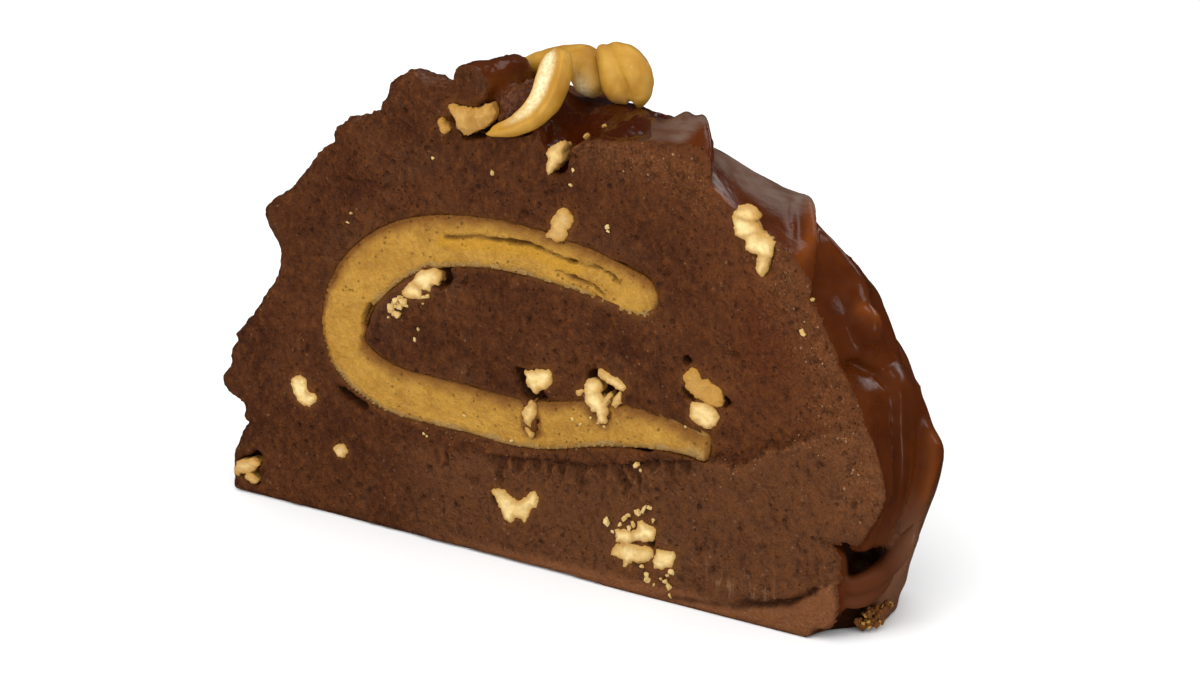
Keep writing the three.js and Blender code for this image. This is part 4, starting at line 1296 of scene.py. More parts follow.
fudgePiece = makeFudge()
thinEdges = [  # where the skin is thin and lets the light through: places and reach
    ([(45.5, -11.4, 57.2), (45.2, -5.4, 60.9), (42.4, -0.4, 63.9)], 1.1),
    ([(31.7, -11.4, 66.9), (35.0, -11.4, 64.8)], 1.6),
    ([(60.5, 5.2, 29.0), (60.6, 4.9, 24.6), (60.0, 4.0, 20.0)], 1.1),
    ([(53.2, -3.6, 50.4), (54.8, -2.8, 49.8)], 1.3),
]
holes = [  # painted shade inside the holes: places and reach
    ((54.6, -6.4, 12.0), 2.8), ((56.6, -4.6, 12.2), 2.6), ((53.4, -3.4, 10.8), 2.6),
    ((55.2, -1.8, 10.8), 2.2), ((54.6, -8.6, 1.9), 1.9), ((56.6, -6.8, 2.0), 1.9),
]


def nearBackNuts(places):  # distance to the nut pieces of the back cut, where one is near
    near, reach = np.full(len(places), 9.0), 4
    graph = bpy.context.evaluated_depsgraph_get()
    for name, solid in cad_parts.items():
        if name.startswith("back_nut"):
            tree = BVHTree.FromObject(solid, graph)
            low, high = [np.array(corner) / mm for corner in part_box(name)]
            for i in np.nonzero(np.all((places > low - reach) & (places < high + reach), axis=1))[0]:
                near[i] = min(near[i], tree.find_nearest(Vector(places[i]) * mm)[3] / mm)
    return near


def markFudge(piece):  # masks for the finish, painted sheen and painted shade among them, and how far each vertex belongs to a cut
    places = placesOf(piece)
    front, back = cutsOf(piece, "finish")
    cut = spread(piece, (front | back | (readMask(piece, "face") > 0.75)).astype(float), fudgeShape["blur"])
    x, y, z = places.T
    turn = turnOf(places)
    depth = y - frontDepth
    # painted sheen: grey reflection of the light on the upper flap and on the ridge
    paintedSheen = band(turn, 36, 41, 62, 72) * ramp(depth + 0.10 * (turn - 45), 5.6, 9.0)
    paintedSheen = paintedSheen * ramp(depth, 19, 14) * (x > 14)
    ridgeSheen = band(turn, 58, 60, 66, 74) * ramp(depth, 0.5, 2) * (x > 17.5)
    thin = np.zeros(len(places))
    for line, reach in thinEdges:
        for spot in smoothLine(line, 6):
            thin = np.maximum(thin, ovalMask(places, spot, reach))
    paintedHollowShade = ramp(z, 5.2, 4.2) * ramp(y, -3.2, -4.8) * ramp(x, 51.0, 52.0)  # painted shade under the fold
    for spot, reach in holes:
        paintedHollowShade = np.maximum(paintedHollowShade, ovalMask(places, spot, reach, 2))
    axis = np.array(roll["back"]) - np.array(roll["front"])
    axis /= np.linalg.norm(axis)
    offRoll = places - np.array(roll["front"])
    offRoll = np.linalg.norm(offRoll - (offRoll @ axis)[:, None] * axis, axis=1)
    lowFoot = ramp(x, 50, 54) * ramp(z, 23, 12) * ramp(depth, 1.0, 2.5)
    masks = {
        "nearNut": np.maximum(bell(nearBackNuts(places), 0.9), readMask(piece, "halo")),
        "nearRibbon": bell(ribbonDistance(places), 0.9),
        "right": ramp(x + 0.35 * (z - hubHeight), 22, 50) * (y < 0),
        "paintedSheen": np.maximum(paintedSheen, ridgeSheen),
        "thinSkin": thin,
        "rough": (ramp(turn, 91, 97) + ramp(turn, -100, -120)) * ramp(offRoll, 3.4, 4.6),
        "deepSkin": bell(x - 9, 12, 4) * ramp(z, 66, 69) * ramp(depth, 0.4, 1.4),
        "paintedHollowShade": paintedHollowShade,
        "dull": lowFoot * (0.2 + 0.8 * ramp(y, -6, -1)),
    }
    for name, values in masks.items():
        setMask(piece, name, values)
    return cut


cutTints = {  # share and colour that each mask of the cut gives
    "right": (0.6, (0.112, 0.0295, 0.0050)),
    "low": (0.72, (0.112, 0.0380, 0.0110)),
    "streaked": (0.6, (0.085, 0.0165, 0.0018)),
    "lip": (0.85, (0.185, 0.064, 0.0190)),
    "crumbly": (0.3, (0.200, 0.070, 0.0200)),
    "nearNut": (0.6, (0.15, 0.048, 0.0062)),
    "nearRibbon": (0.55, (0.165, 0.058, 0.0085)),
    # painted shade in pits, hollows, notches and creases
    "paintedShade": (0.85, (0.016, 0.0036, 0.0008)),
}
cutColours = {
    "patches": ((0.055, 0.0128, 0.0019), (0.090, 0.0245, 0.0043)),
    "dusty": (0.098, 0.0400, 0.0160),
    # painted highlights on the smooth strokes near the foot
    "strokeHighlight": (0.30, 0.165, 0.085),
    # lighter on the high lumps: painted light
    "raised": (0.165, 0.053, 0.0120),
    # darker: painted shade in the low lumps, and the dark specks of the fine grain
    "sunk": (0.030, 0.0065, 0.0012),
    "grain": (0.27, 0.108, 0.038),
    # painted shade in the pores
    "pit": (0.020, 0.0045, 0.0009),
    # painted highlights: glints on the sugar grain
    "paintedGlint": (0.42, 0.23, 0.11),
}
skinTints = {  # the same for the skin
    "nearNut": (0.5, (0.22, 0.075, 0.010)),
    "thinSkin": (0.6, (0.20, 0.050, 0.0065)),
    "deepSkin": (0.85, (0.030, 0.0036, 0.0003)),
    "dull": (0.8, (0.150, 0.068, 0.035)),
    # painted shade under the fold and in the holes
    "paintedHollowShade": (0.95, (0.014, 0.0036, 0.0008)),
}
skinColours = {
    "patches": ((0.052, 0.0095, 0.0009), (0.086, 0.0180, 0.0020)),
    # painted sheen: grey reflection on the flap and the ridge
    "paintedSheen": (0.155, 0.098, 0.070),
    "crust": ((0.045, 0.0105, 0.0019), (0.15, 0.048, 0.0125)),
}


def makeFudgeCutMaterial():
    material, tree, shader, coords = startMaterial("fudgeCut")
    speckle = noiseOf(tree, coords, 2400.0, 2.0, 0.65)
    lumps = noiseOf(tree, stretch(tree, coords, (1, 1, 0.72), (0, 0.15, 0)), 900.0, 4.0, 0.62, 0.2)
    strokes = noiseOf(tree, stretch(tree, coords, (1, 1, 0.16), (0, -0.12, 0)), 1500.0, 2.0, 0.5)
    dusty = rangeOf(tree, noiseOf(tree, coords, 62.0, 3.0, 0.6, 0.6), 0.54, 0.72, 0.0, 0.35)
    crumbly = maskOf(tree, "crumbly")
    smooth = restOf(tree, maskOf(tree, "lip"), 0.8)
    colour = mixColour(tree, mottleOf(tree, coords, 95.0)[0], *cutColours["patches"])
    colour = tintAll(tree, colour, cutTints, "right", "low")
    colour = mixColour(tree, dusty, colour, cutColours["dusty"])
    colour = tintAll(tree, colour, cutTints, "streaked", "lip", "crumbly")
    # painted highlights on the smooth strokes near the foot
    strokeHighlightMask = times(tree, rangeOf(tree, strokes, 0.55, 0.68), maskOf(tree, "strokeHighlightMask"))
    colour = tint(tree, colour, strokeHighlightMask, 0.35, cutColours["strokeHighlight"])
    # painted light on the high lumps, painted shade in the low ones
    colour = tint(tree, colour, rangeOf(tree, lumps, 0.50, 0.66, 0.0, 0.32), smooth, cutColours["raised"])
    colour = tint(tree, colour, rangeOf(tree, lumps, 0.47, 0.33, 0.0, 0.5), smooth, cutColours["sunk"])
    fine = mathOf(tree, "ADD", 0.16, times(tree, crumbly, 0.6))
    fine = times(tree, rangeOf(tree, speckle, 0.56, 0.76), fine)
    colour = tint(tree, colour, fine, smooth, cutColours["grain"])
    deep = mathOf(tree, "ADD", 0.22, times(tree, crumbly, 0.4))
    deep = times(tree, rangeOf(tree, speckle, 0.46, 0.30), deep)
    colour = tint(tree, colour, deep, smooth, cutColours["sunk"])
    colour = tintAll(tree, colour, cutTints, "nearNut", "nearRibbon")
    # painted shade in the pores
    pits = mathOf(tree, "MAXIMUM", poresOf(tree, coords, 800.0, 0.10), poresOf(tree, coords, 1700.0, 0.16))
    pits = times(tree, pits, smooth)
    colour = tint(tree, colour, pits, 0.45, cutColours["pit"])
    # painted shade in pits, hollows, notches and creases
    colour = tintAll(tree, colour, cutTints, "paintedShade")
    # painted glints: highlights on the sugar grain, most of all where it is crumbly
    paintedGlints = times(tree, poresOf(tree, coords, 1400.0, 0.08), mathOf(tree, "ADD", 0.3, crumbly, True))
    colour = tint(tree, colour, paintedGlints, 0.7, cutColours["paintedGlint"])
    setShader(tree, shader, colour, rangeOf(tree, lumps, 0.3, 0.7, 0.50, 0.34), 0.3)
    height = mathOf(tree, "SUBTRACT", lumps, times(tree, pits, 0.4))
    addBump(tree, shader, mathOf(tree, "ADD", height, times(tree, speckle, 0.25)), 1.0, 0.0011)
    return material


def makeFudgeSkinMaterial():
    material, tree, shader, coords = startMaterial("fudgeSkin")
    lines = noiseOf(tree, stretch(tree, coords, (0.3, 1, 1), (0, 0.7, 0.2)), 900.0, 4.0, 0.6)
    grains = rangeOf(tree, noiseOf(tree, coords, 2000.0, 2.0, 0.6), 0.35, 0.7)
    paintedSheen, crusty = maskOf(tree, "paintedSheen"), maskOf(tree, "rough")
    colour = mixColour(tree, mottleOf(tree, coords, 90.0)[0], *skinColours["patches"])
    colour = tintAll(tree, colour, skinTints, "nearNut", "thinSkin")
    # painted sheen on the flap and the ridge, in brushed lines
    colour = tint(tree, colour, paintedSheen, rangeOf(tree, lines, 0.35, 0.65, 0.35, 0.75), skinColours["paintedSheen"])
    colour = tint(tree, colour, crusty, 0.85, mixColour(tree, grains, *skinColours["crust"]))
    # the last of these is painted shade under the fold and in the holes
    colour = tintAll(tree, colour, skinTints, "deepSkin", "dull", "paintedHollowShade")
    rough = mathOf(tree, "ADD", rangeOf(tree, lines, 0.3, 0.7, 0.13, 0.25), times(tree, paintedSheen, 0.2))
    setShader(tree, shader, colour, mathOf(tree, "ADD", rough, times(tree, crusty, 0.25)), 0.5)
    addBump(tree, shader, lines, 0.2, 0.0004)
    return material


fudgeCut = makeFudgeCutMaterial()
fudgeSkin = makeFudgeSkinMaterial()
cutShare = markFudge(fudgePiece)
finishPiece(fudgePiece, "fudge", ["fudge"], fudgeCut, fudgeSkin)
corners = np.empty(len(fudgePiece.data.polygons) * 3, dtype=np.int64)
fudgePiece.data.polygons.foreach_get("vertices", corners)
onSkin = cutShare[corners.reshape(-1, 3)].mean(1) < 0.5
fudgePiece.data.polygons.foreach_set("material_index", onSkin.astype(np.int32))
print("fudge finished")


# caramel ribbon, a little swollen so that it meets the fudge, with its cracks and crumbly edges
ribbonShape = {
    "voxel": 0.36,
    "swell": 0.42,
    "mostTriangles": 90000,
    "bumps": [(0.22, 3.2, 31), (0.14, 1.3, 32), (0.10, 0.8, 33)],  # noise of a height, size and seed
    "crackNoise": [(0.16, 1.4, 34)],
    "edgeNoise": [(0.35, 1.1, 36), (0.3, 2.6, 38)],
    "hidden": 9.5,  # from the middle towards each cut
}
caramelTints = {  # share and colour that each mask gives
    "layer": (0.7, (0.46, 0.225, 0.010)),
    "crack": (0.9, (0.095, 0.026, 0.0020)),
}
caramelColours = {
    "patches": ((0.325, 0.148, 0.0115), (0.425, 0.215, 0.0225)),
    "grain": (0.50, 0.29, 0.060),
    "cloud": (0.22, 0.085, 0.008),
    "brownEdge": (0.165, 0.056, 0.0075),
    "bloomEdge": (0.33, 0.215, 0.090),
    # painted shade in the pores
    "pit": (0.20, 0.080, 0.010),
}
ribbonCracks = {  # lines in x and z, how deep and how wide
    "long": {
        "line": [
            (-16.5, 51.8), (-14.6, 51.9), (-10.8, 52.7), (-6.1, 53.0), (-0.5, 53.2), (3.5, 52.4),
            (7.2, 51.8),
        ],
        "deep": 1.6, "wide": 0.30,
    },
    "end": {"line": [(6.6, 51.9), (12.2, 51.7), (14.4, 51.0), (15.6, 49.9)], "deep": 0.9, "wide": 0.28},
    "inner": {
        "line": [(4.2, 49.9), (5.0, 49.8), (8.2, 49.1), (10.8, 48.9), (13, 47.6)],
        "deep": 0.9, "wide": 0.28,
    },
    "bend": {"line": [(-31.5, 37.8), (-32.3, 36.4), (-32.7, 34.4)], "deep": 1.3, "wide": 0.42},
    "foot": {"line": [(-38.7, 22.6), (-36.4, 21.9), (-33.4, 21.4)], "deep": 2.2, "wide": 0.6},
}


def edgeDistance(places, walls):  # from the ends' vertices to the nearest wall, and how far above
    finder = KDTree(int(walls.sum()))
    for i in np.nonzero(walls)[0]:
        finder.insert((places[i, 0], 0, places[i, 2]), int(i))
    finder.balance()
    toEdge, above = np.zeros(len(places)), np.zeros(len(places))
    for i in np.nonzero(walls < 0.5)[0]:
        spot, _, toEdge[i] = finder.find((places[i, 0], 0, places[i, 2]))
        above[i] = (spot.z - places[i, 2]) / max(toEdge[i], 0.05)
    return toEdge, above


def makeRibbon():
    piece = copySolid("caramel_ribbon", "caramel_band")
    remesh(piece, ribbonShape["voxel"])
    walls = (np.abs(normalsOf(piece)[:, 1]) < 0.6).astype(float)
    setGroup(piece, "walls", walls)
    swell(piece, ribbonShape["swell"], "walls")
    places = placesOf(piece)
    x, y, z = places.T
    lowerEnd = bell(x - 28.5, 5.5) * band(z, 22, 31, 36, 42) * (y < 0)
    places[:, 2] += 1.5 * lowerEnd  # the lower end is thicker in front
    ends = walls < 0.5
    toEdge, above = edgeDistance(places, walls)
    toEdge, above = spread(piece, toEdge, 3), spread(piece, above, 2)
    front = places[:, 1] < 0
    x, z = np.where(front, places[:, 0], -places[:, 0] - 6), places[:, 2]
    spots = np.stack([x, z], 1)
    lift = roughen(0.0, x, z, ribbonShape["bumps"])
    crack = np.zeros(len(places))
    for mark in ribbonCracks.values():
        away = roughen(lineOffset(spots, mark["line"])[0], x, z, ribbonShape["crackNoise"])
        near = bell(np.maximum(away, 0), mark["wide"], 4)
        near = near * np.clip(0.9 + 0.6 * planeNoise(x, z, 2.6, 37), 0.45, 1)
        lift -= mark["deep"] * near
        crack = np.maximum(crack, near)
    layer = -lineOffset(spots, ribbonCracks["long"]["line"])[1]
    lift -= 0.35 * band(layer, 0.1, 0.5, 1.8, 3.2) * (x > -17) * (x < 12)
    rounded = ramp(toEdge, 1.2, 0)
    lift -= 0.3 * rounded + 0.15 * rounded * planeNoise(x, z, 1.0, 35)
    places[:, 1] += np.where(front, -lift, lift) * ends
    setPlaces(piece, places)
    ragged = roughen(toEdge, x, z, ribbonShape["edgeNoise"])
    fade = ramp(x, 24, 33) * ramp(z, 33, 30)  # the lower end runs out into the fudge
    edgeWidth = 0.9 + 1.7 * ramp(above, 0.1, 0.6) + 2.0 * fade
    masks = {
        "crack": crack,
        "edge": np.where(ends, ramp(ragged, edgeWidth, 0.0), 1.0),
        "lower": ramp(above, -0.1, -0.6),
        "layer": band(layer, 0.1, 0.6, 1.6, 2.6) * (x > -18) * (x < 13),
    }
    for name, values in masks.items():
        setMask(piece, name, values)
    hidden = (np.abs(places[:, 1] - 0.6) < ribbonShape["hidden"]).astype(float)
    thinPiece(piece, ribbonShape["mostTriangles"], spread(piece, hidden, 2))
    return piece


def makeCaramelMaterial():
    material, tree, shader, coords = startMaterial("caramel")
    patches, grain = mottleOf(tree, coords, 160.0)
    pores = poresOf(tree, coords, 1500.0, 0.14)
    edge, lower = maskOf(tree, "edge"), maskOf(tree, "lower")
    colour = mixColour(tree, patches, *caramelColours["patches"])
    colour = tint(tree, colour, rangeOf(tree, grain, 0.38, 0.66), 0.4, caramelColours["grain"])
    clouds = rangeOf(tree, noiseOf(tree, coords, 420.0, 4.0, 0.65), 0.50, 0.32, 0.0, 0.3)
    colour = mixColour(tree, clouds, colour, caramelColours["cloud"])
    colour = tintAll(tree, colour, caramelTints, "layer")
    brown = times(tree, edge, restOf(tree, lower))
    colour = tint(tree, colour, brown, 0.9, caramelColours["brownEdge"])
    colour = tint(tree, colour, times(tree, edge, lower), 0.75, caramelColours["bloomEdge"])
    # painted shade in the pores
    colour = tint(tree, colour, pores, 0.3, caramelColours["pit"])
    colour = tintAll(tree, colour, caramelTints, "crack")
    roughness = rangeOf(tree, grain, 0.3, 0.7, 0.55, 0.33)
    setShader(tree, shader, colour, roughness, 0.35, 0.12, (0.0012, 0.0006, 0.0002))
    addBump(tree, shader, mathOf(tree, "SUBTRACT", grain, pores), 1.0, 0.0006)
    return material


caramelPiece = makeRibbon()
finishPiece(caramelPiece, "caramel", ["caramel_ribbon"], makeCaramelMaterial())
print("ribbon finished")


# nut pieces, cut off level with the face and broken behind it
nutTints = {  # share and colour that each mask gives
    "toast": (1.0, (0.40, 0.195, 0.026)),
    "rim": (0.75, (0.38, 0.180, 0.026)),
    "sunk": (0.7, (0.34, 0.15, 0.026)),
}
nutColours = {"patches": ((0.59, 0.385, 0.120), (0.80, 0.62, 0.285)), "grain": (0.74, 0.58, 0.31)}
underRoll = {"bulge": 0.75, "reach": 1.6, "ribs": 0.45, "pitch": 0.7, "lean": 0.3, "long": 6, "seed": 43}
nutShape = {
    "voxel": 0.22,
    "thick": 3.0,
    "narrow": 0.8,
    "proud": 0.22,
    "swell": 0.08,
    "chips": 0.5,
    "chipSize": 1.9,
    "grain": 0.14,
}
toastedNuts = {
    "nut_toasted": 0.9,
    "nut_under_roll": 0.8,
    "nut_stub": 0.6,
    "nut_sliver": 0.1,
    "nut_spike": 0.2,
    "nut_foot": 0.35,
}


def addChunk(outline):  # one broken bit, drawn round its outline in the cut and run back into the fudge
    line = np.asarray(outline, float)
    bpy.ops.mesh.primitive_circle_add(vertices=len(line), radius=1, fill_type="NGON")
    made = bpy.context.active_object
    front = np.full(len(line), frontDepth - nutShape["proud"])
    setPlaces(made, np.stack([line[:, 0], front, line[:, 1]], 1))
    middle = Vector((line[:, 0].mean(), frontDepth + nutShape["thick"], line[:, 1].mean())) * mm
    bpy.ops.object.mode_set(mode="EDIT")
    bpy.ops.mesh.select_all(action="SELECT")
    bpy.ops.mesh.extrude_region_move(TRANSFORM_OT_translate={"value": (0, nutShape["thick"] * mm, 0)})
    bpy.ops.transform.resize(value=(nutShape["narrow"], 1, nutShape["narrow"]), center_override=middle)
    bpy.ops.object.mode_set(mode="OBJECT")
    onWholeMesh(bpy.ops.mesh.normals_make_consistent, inside=False)
    return made


def makeNut(nodeName):
    outlines = nutOutlines.get(nodeName, [])
    pieceName = nodeName.replace("nut_", "nut_piece_")
    if outlines:
        chunks = [addChunk(outline) for outline in outlines]
        piece = chunks[0]
        joinInto(piece, chunks[1:])
        namePiece(piece, pieceName)
    else:
        piece = copySolid(nodeName, pieceName)
    remesh(piece, nutShape["voxel"])
    swell(piece, nutShape["swell"])
    chips = cloudTexture("nutChips", nutShape["chipSize"], 1, "VORONOI_F2_F1", True)
    displace(piece, chips, nutShape["chips"])
    displace(piece, cloudTexture("nutGrain", 0.7, 2), nutShape["grain"])
    places = placesOf(piece)
    spots = places[:, [0, 2]]
    if nodeName == "nut_under_roll":  # it bulges out of the cut and is ribbed from top to bottom
        x, z = spots.T
        bulge = sum(insideOf(spots, outline, -underRoll["reach"]) for outline in outlines[:2])
        along = x / underRoll["pitch"] + underRoll["lean"] * z
        ribs = underRoll["ribs"] * planeNoise(along, z / underRoll["long"], 1, underRoll["seed"])
        inCut = places[:, 1] < frontDepth + 0.6
        places[:, 1] -= (underRoll["bulge"] * bulge + ribs) * inCut
        setPlaces(piece, places)
    if nodeName == "nut_shoulder":
        places = tuckUnder(places, fudgePiece, 0.2, 1.2)
        setPlaces(piece, places)
        spots = places[:, [0, 2]]
    rim = np.zeros(len(places))
    for outline in outlines:
        rim = np.maximum(rim, insideOf(spots, outline, -1.1))
    setMask(piece, "rim", (1 - rim) * (1.0 if outlines else 0.3))
    setMask(piece, "toast", np.full(len(places), toastedNuts.get(nodeName, 0.0)))
    setMask(piece, "sunk", ramp(np.abs(places[:, 1] - 0.6), 11.9, 11.0))
    return piece


def makeNutMaterial():
    material, tree, shader, coords = startMaterial("nut")
    patches, grain = mottleOf(tree, coords, 260.0)
    colour = mixColour(tree, patches, *nutColours["patches"])
    colour = tint(tree, colour, rangeOf(tree, grain, 0.38, 0.68), 0.4, nutColours["grain"])
    colour = tintAll(tree, colour, nutTints, "toast", "rim", "sunk")
    setShader(tree, shader, colour, 0.55, 0.3, 0.15, (0.0010, 0.0006, 0.0003))
    addBump(tree, shader, grain, 0.6, 0.0004)
    return material


nutMaterial = makeNutMaterial()
for nodeName in sorted(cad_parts):
    if "nut_" in nodeName:
        finishPiece(makeNut(nodeName), "nut", [nodeName], nutMaterial)
print("nut pieces finished")


# cashews: bodies drawn along bent middle lines, in x, y, z and half width
cashewBodies = {
    "cashew_front": {
        "lines": [
            [(-8.4, -12, 69.7, 0.1), (-7.4, -11.8, 69.9, 0.6), (-6, -11.5, 70.5, 1.1),
             (-3.7, -10.8, 71.4, 1.6), (-0.9, -10, 73.3, 2.2), (0.8, -8.8, 76, 2.6),
             (1.4, -7.8, 78.6, 2.7), (1.2, -6.4, 80.8, 2.5), (0.8, -5.6, 82.1, 1.9),
             (0.4, -5.2, 83.1, 0.2)],
        ],
        "through": 1.05,
        "split": True,
    },
    "cashew_back": {
        "lines": [
            [(-12.3, 2.6, 77, 0.2), (-11.5, 2.6, 77, 0.9), (-9.4, 2.6, 77, 1.8),
             (-6.1, 2.6, 78, 2.2), (-2.5, 2.2, 79, 2.3), (0.7, 1.8, 79.0, 3.0),
             (2.4, 1.2, 76.9, 2.9), (2.9, 0.8, 75.3, 2.3), (3.1, 0.6, 74.1, 0.3)],
        ],
        "through": 1.1,
        "split": False,
    },
    "cashew_right": {
        "lines": [
            [(3.5, 1.4, 82.2, 0.2), (4.4, 1.2, 81.8, 1.1), (5.7, 0.8, 80.5, 1.7), (6.7, 0.4, 78.7, 2.0),
             (7.7, 0, 76.9, 2.1), (9, -0.4, 75.4, 1.5), (10.1, -0.6, 74.4, 0.2)],
            [(4.8, 2.2, 82.4, 0.2), (6, 2.1, 82, 1.2), (8.5, 1.8, 80.8, 2.2), (10.4, 1.4, 79, 2.4),
             (11.4, 1, 76.9, 2.0), (11.6, 0.6, 75.1, 1.4), (11.6, 0.4, 73.7, 0.2)],
        ],
        "through": 1.15,
        "split": False,
    },
}
cashewShape = {"voxel": 0.24, "smoothing": 4, "flat": 0.62, "hollow": 0.25, "dents": 0.4}
cashewMarks = {  # a pale patch and a broken end: middle and half sizes
    "cashew_back": ((2.6, -1.0, 76.0), (1.3, 2.0, 1.9)),
    "cashew_right": ((9.6, -1.6, 74.8), (1.6, 1.6, 1.0)),
}
cashewColours = {
    "patches": ((0.37, 0.170, 0.0145), (0.50, 0.275, 0.040)),
    "pale": ((0.62, 0.490, 0.250), (0.82, 0.700, 0.420)),
    "broken": (0.30, 0.15, 0.045),
    "speck": (0.90, 0.80, 0.62),
}


def splitSide(a, b, along):  # the flat, slightly hollow inner side of a split nut, pale along its upper part
    leanA, leanB = -0.62, 0.78  # the way that side faces
    toFace, across = leanA * a + leanB * b, leanB * a - leanA * b
    beyond = np.maximum(toFace - cashewShape["flat"], 0)
    hollow = cashewShape["hollow"] * (beyond > 0) * np.maximum(1 - (across / 0.8) ** 2, 0)
    pale = band(across, -0.85, -0.4, -0.15, 0.45) * (b > -0.35)
    pale = pale * band(along, 0.2, 0.55, 0.82, 1.0)
    cut = beyond + 0.6 * hollow
    return a - leanA * cut, b - leanB * cut, pale


def makeCashew(nodeName):
    body = cashewBodies[nodeName]
    shape = splitSide if body["split"] else None
    parts = [addTube(line, body["through"], shape) for line in body["lines"]]
    piece, flatShare = parts[0]
    finder = KDTree(len(piece.data.vertices))
    for i, place in enumerate(placesOf(piece)):
        finder.insert(place, i)
    finder.balance()
    joinInto(piece, [part[0] for part in parts[1:]])
    namePiece(piece, nodeName + "_nut")
    remesh(piece, cashewShape["voxel"])
    evenOut(piece, cashewShape["smoothing"])
    displace(piece, cloudTexture("cashewDents", 3.0, 1), cashewShape["dents"])
    places = placesOf(piece)
    pale, broken = np.zeros(len(places)), np.zeros(len(places))
    if body["split"]:
        pale = np.array([flatShare[finder.find(place)[1]] for place in places])
    if nodeName == "cashew_back":
        pale = 0.9 * ovalMask(places, *cashewMarks[nodeName])
    if nodeName == "cashew_right":
        broken = ovalMask(places, *cashewMarks[nodeName])
    setMask(piece, "pale", spread(piece, pale, 3))
    setMask(piece, "broken", broken)
    return piece


def makeCashewMaterial():
    material, tree, shader, coords = startMaterial("cashew")
    patches, grain = mottleOf(tree, coords, 200.0)
    pale = mixColour(tree, rangeOf(tree, grain, 0.35, 0.65), *cashewColours["pale"])
    colour = mixColour(tree, patches, *cashewColours["patches"])
    colour = mixColour(tree, maskOf(tree, "pale"), colour, pale)
    colour = tint(tree, colour, maskOf(tree, "broken"), 0.85, cashewColours["broken"])
    colour = tint(tree, colour, poresOf(tree, coords, 900.0, 0.04), 0.8, cashewColours["speck"])
    setShader(tree, shader, colour, 0.36, 0.45, 0.12, (0.0012, 0.0007, 0.0003))
    addBump(tree, shader, grain, 0.3, 0.0003)
    return material


cashewMaterial = makeCashewMaterial()
for nodeName in cashewBodies:
    finishPiece(makeCashew(nodeName), "cashew", [nodeName], cashewMaterial)
print("cashews finished")


# crumbs: joined into one piece of each kind, at true size
crumbPlaces = [  # nut crumbs on the front cut, in x, z and half size
    (13.3, 10.7, 0.46), (16.1, 11, 0.38), (16.8, 12.1, 0.38), (17.3, 12.7, 0.31), (18.3, 11.5, 0.4),
    (19.2, 13.6, 0.38), (20.4, 14.6, 0.46), (21.3, 14.8, 0.38), (22.1, 13, 0.38), (17.7, 10.8, 0.31),
    (21, 3.8, 0.31), (21.2, 3, 0.46), (23.4, 3.6, 0.38), (24.3, 3.2, 0.38), (24.7, 4.4, 0.38),
    (25.4, 5.3, 0.38), (25, 2.7, 0.38), (22.3, 2.4, 0.23), (25.2, 1.2, 0.25), (20.1, 4.9, 0.31),
    (14.4, 9.3, 0.25), (-25.2, 40.4, 0.46), (-26, 39.7, 0.52), (-24.4, 39.8, 0.46), (-24, 39.2, 0.38),
    (-25.2, 38.9, 0.55), (-26, 38.7, 0.31), (-27, 38.2, 0.52), (-26.4, 37.5, 0.46), (-25.6, 37.5, 0.55),
    (-26.8, 38.9, 0.31), (-20.5, 41.2, 0.31), (-19.9, 41.5, 0.31), (-20.9, 40.1, 0.23), (-27.6, 36.6, 0.23),
    (11.8, 26.7, 0.28), (-55.9, 6.9, 0.34), (7.6, 70.7, 0.46), (7.2, 66.3, 0.25), (18.9, 21.3, 0.37),
    (12.9, 26.3, 0.22), (48.2, 52.9, 0.34), (47.3, 48, 0.34), (-21.8, 35.7, 0.25), (-22.6, 33.8, 0.23),
    (-35.3, 51, 0.25), (-7.4, 63.5, 0.31), (-34.5, 52.7, 0.28), (-18.5, 64.2, 0.28), (-4.2, 20.6, 0.28),
    (-21.2, 18.1, 0.25), (-20.8, 17.8, 0.22), (-13.1, 23, 0.28), (13.5, 58.4, 0.31), (13.6, 57.7, 0.31),
    (7.3, 26.6, 0.23), (8.7, 25.9, 0.22), (10.4, 27.2, 0.23), (34.8, 34.4, 0.23), (27.5, 29.3, 0.23),
    (9.7, 72.3, 0.34), (-0.8, 22, 0.22), (6.8, 63.8, 0.22), (19.7, 20.7, 0.22),
]
fudgeHeaps = [  # middle, reach and count
    ((56.2, -4.4, 3.4), 0.9, 16), ((56.6, -3.2, 3.2), 0.9, 16), ((56.8, -1.8, 4.0), 0.8, 12),
    ((55.8, -4.6, 1.8), 0.9, 14), ((56.2, -3.0, 1.4), 0.9, 14), ((55.4, -6.0, 1.4), 0.8, 10),
]
grainShape = {"count": 70, "half": (0.07, 0.15), "scatter": 1.6, "deepest": 1.5, "seed": 71}
grainColours = ((0.20, 0.090, 0.035), (0.46, 0.29, 0.15))
fudgeTree = BVHTree.FromObject(fudgePiece, bpy.context.evaluated_depsgraph_get())
ribbonFaceTree = BVHTree.FromObject(caramelPiece, bpy.context.evaluated_depsgraph_get())


def onCut(x, z):  # how far forward the front cut lies there
    start, way = Vector((x, -40, z)) * mm, Vector((0, 1, 0))
    spots = [tree.ray_cast(start, way)[0] for tree in (fudgeTree, ribbonFaceTree)]
    return min([spot.y / mm for spot in spots if spot and spot.y / mm < -5], default=None)


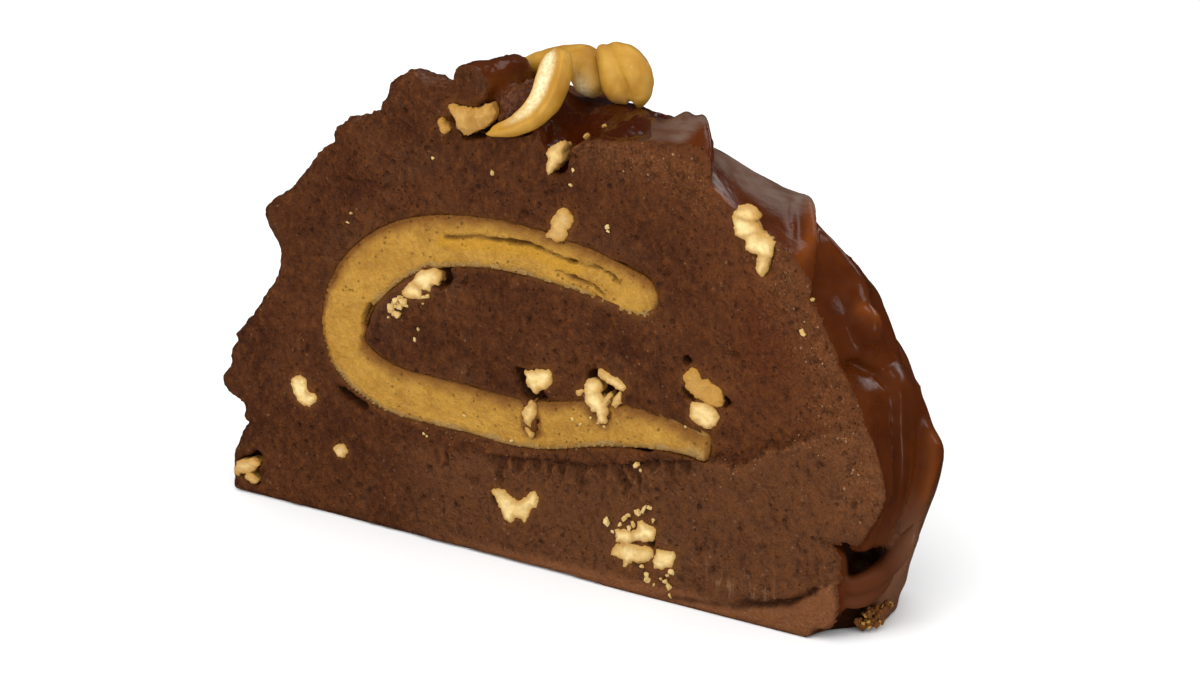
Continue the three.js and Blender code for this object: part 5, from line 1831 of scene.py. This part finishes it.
def addCrumbs(name, spots, seed):
    seeded = random.Random(seed)
    made = []
    for x, y, z, half in spots:
        place = Vector((x, y, z)) * mm
        bpy.ops.mesh.primitive_ico_sphere_add(subdivisions=1, radius=half * mm, location=place)
        crumb = bpy.context.active_object
        crumb.scale = [seeded.uniform(0.55, 1.45) for _ in range(3)]
        crumb.rotation_euler = [seeded.uniform(0, 6.28) for _ in range(3)]
        bpy.ops.object.transform_apply()
        for corner in crumb.data.vertices:
            corner.co += Vector([seeded.uniform(-0.3, 0.3) * half * mm for _ in range(3)])
        made.append(crumb)
    piece = made[0]
    joinInto(piece, made[1:])
    namePiece(piece, name)
    places = placesOf(piece)
    places[:, 2] = np.maximum(places[:, 2], 0.02)
    setPlaces(piece, places)
    return piece


def heapSpots(seed, share, halves):  # crumbs on the skin about the middle of each heap
    seeded = random.Random(seed)
    spots = []
    for middle, reach, count in fudgeHeaps:
        for _ in range(round(share * count)):
            aim = Vector([v + seeded.gauss(0, 0.5) * reach for v in middle])
            spot, normal = fudgeTree.find_nearest(aim * mm)[:2]
            x, y, z = spot / mm + normal * seeded.uniform(0.0, 1.0)
            half = seeded.uniform(*halves)
            spots.append((x, y, max(z, 0.6 * half), half))
    return spots


def makeNutCrumbs():
    spots = heapSpots(65, 0.25, (0.2, 0.42))
    for x, z, half in crumbPlaces:
        y = onCut(x, z)
        if y:
            spots.append((x, y - 0.25 * half, z, 1.3 * half))
    piece = addCrumbs("nut_crumbs", spots, 61)
    setMask(piece, "toast", np.where(placesOf(piece)[:, 1] > -9, 0.85, 0.15))
    for name, value in (("sunk", 0.0), ("rim", 0.35)):
        setMask(piece, name, np.full(len(piece.data.vertices), value))
    return piece


def makeFudgeCrumbs():
    piece = addCrumbs("fudge_crumbs", heapSpots(62, 1.0, (0.2, 0.6)), 63)
    for name in ("strokeHighlightMask", *cutTints):
        value = float(name in ("lip", "crumbly", "nearNut", "nearRibbon"))
        setMask(piece, name, np.full(len(piece.data.vertices), value))
    return piece


def makeSugarGrains():
    seeded = random.Random(grainShape["seed"])
    spots = []
    for k in range(grainShape["count"]):
        mark = "crumblyRim" if k % 2 else seeded.choice(["tornTop", "bandEdge", "tornLedge"])
        line = faceMarks[mark]["line"]
        start = seeded.randrange(len(line) - 1)
        share = seeded.random()
        x, z = [
            a * (1 - share) + b * share + seeded.gauss(0, grainShape["scatter"])
            for a, b in zip(line[start], line[start + 1])
        ]
        y = onCut(x, z)
        if y and y < frontDepth + grainShape["deepest"]:
            half = seeded.uniform(*grainShape["half"])
            spots.append((x, y - 0.2 * half, z, half))
    return addCrumbs("sugar_grains", spots, 72)


def makeGrainMaterial():
    material, tree, shader, coords = startMaterial("sugarGrain")
    colour = mixColour(tree, noiseOf(tree, coords, 900.0), *grainColours)
    setShader(tree, shader, colour, 0.35, 0.5)
    return material


finishPiece(makeNutCrumbs(), "nut", [], nutMaterial)
finishPiece(makeFudgeCrumbs(), "fudge", [], fudgeCut)
finishPiece(makeSugarGrains(), "fudge", [], makeGrainMaterial())
print("crumbs finished")
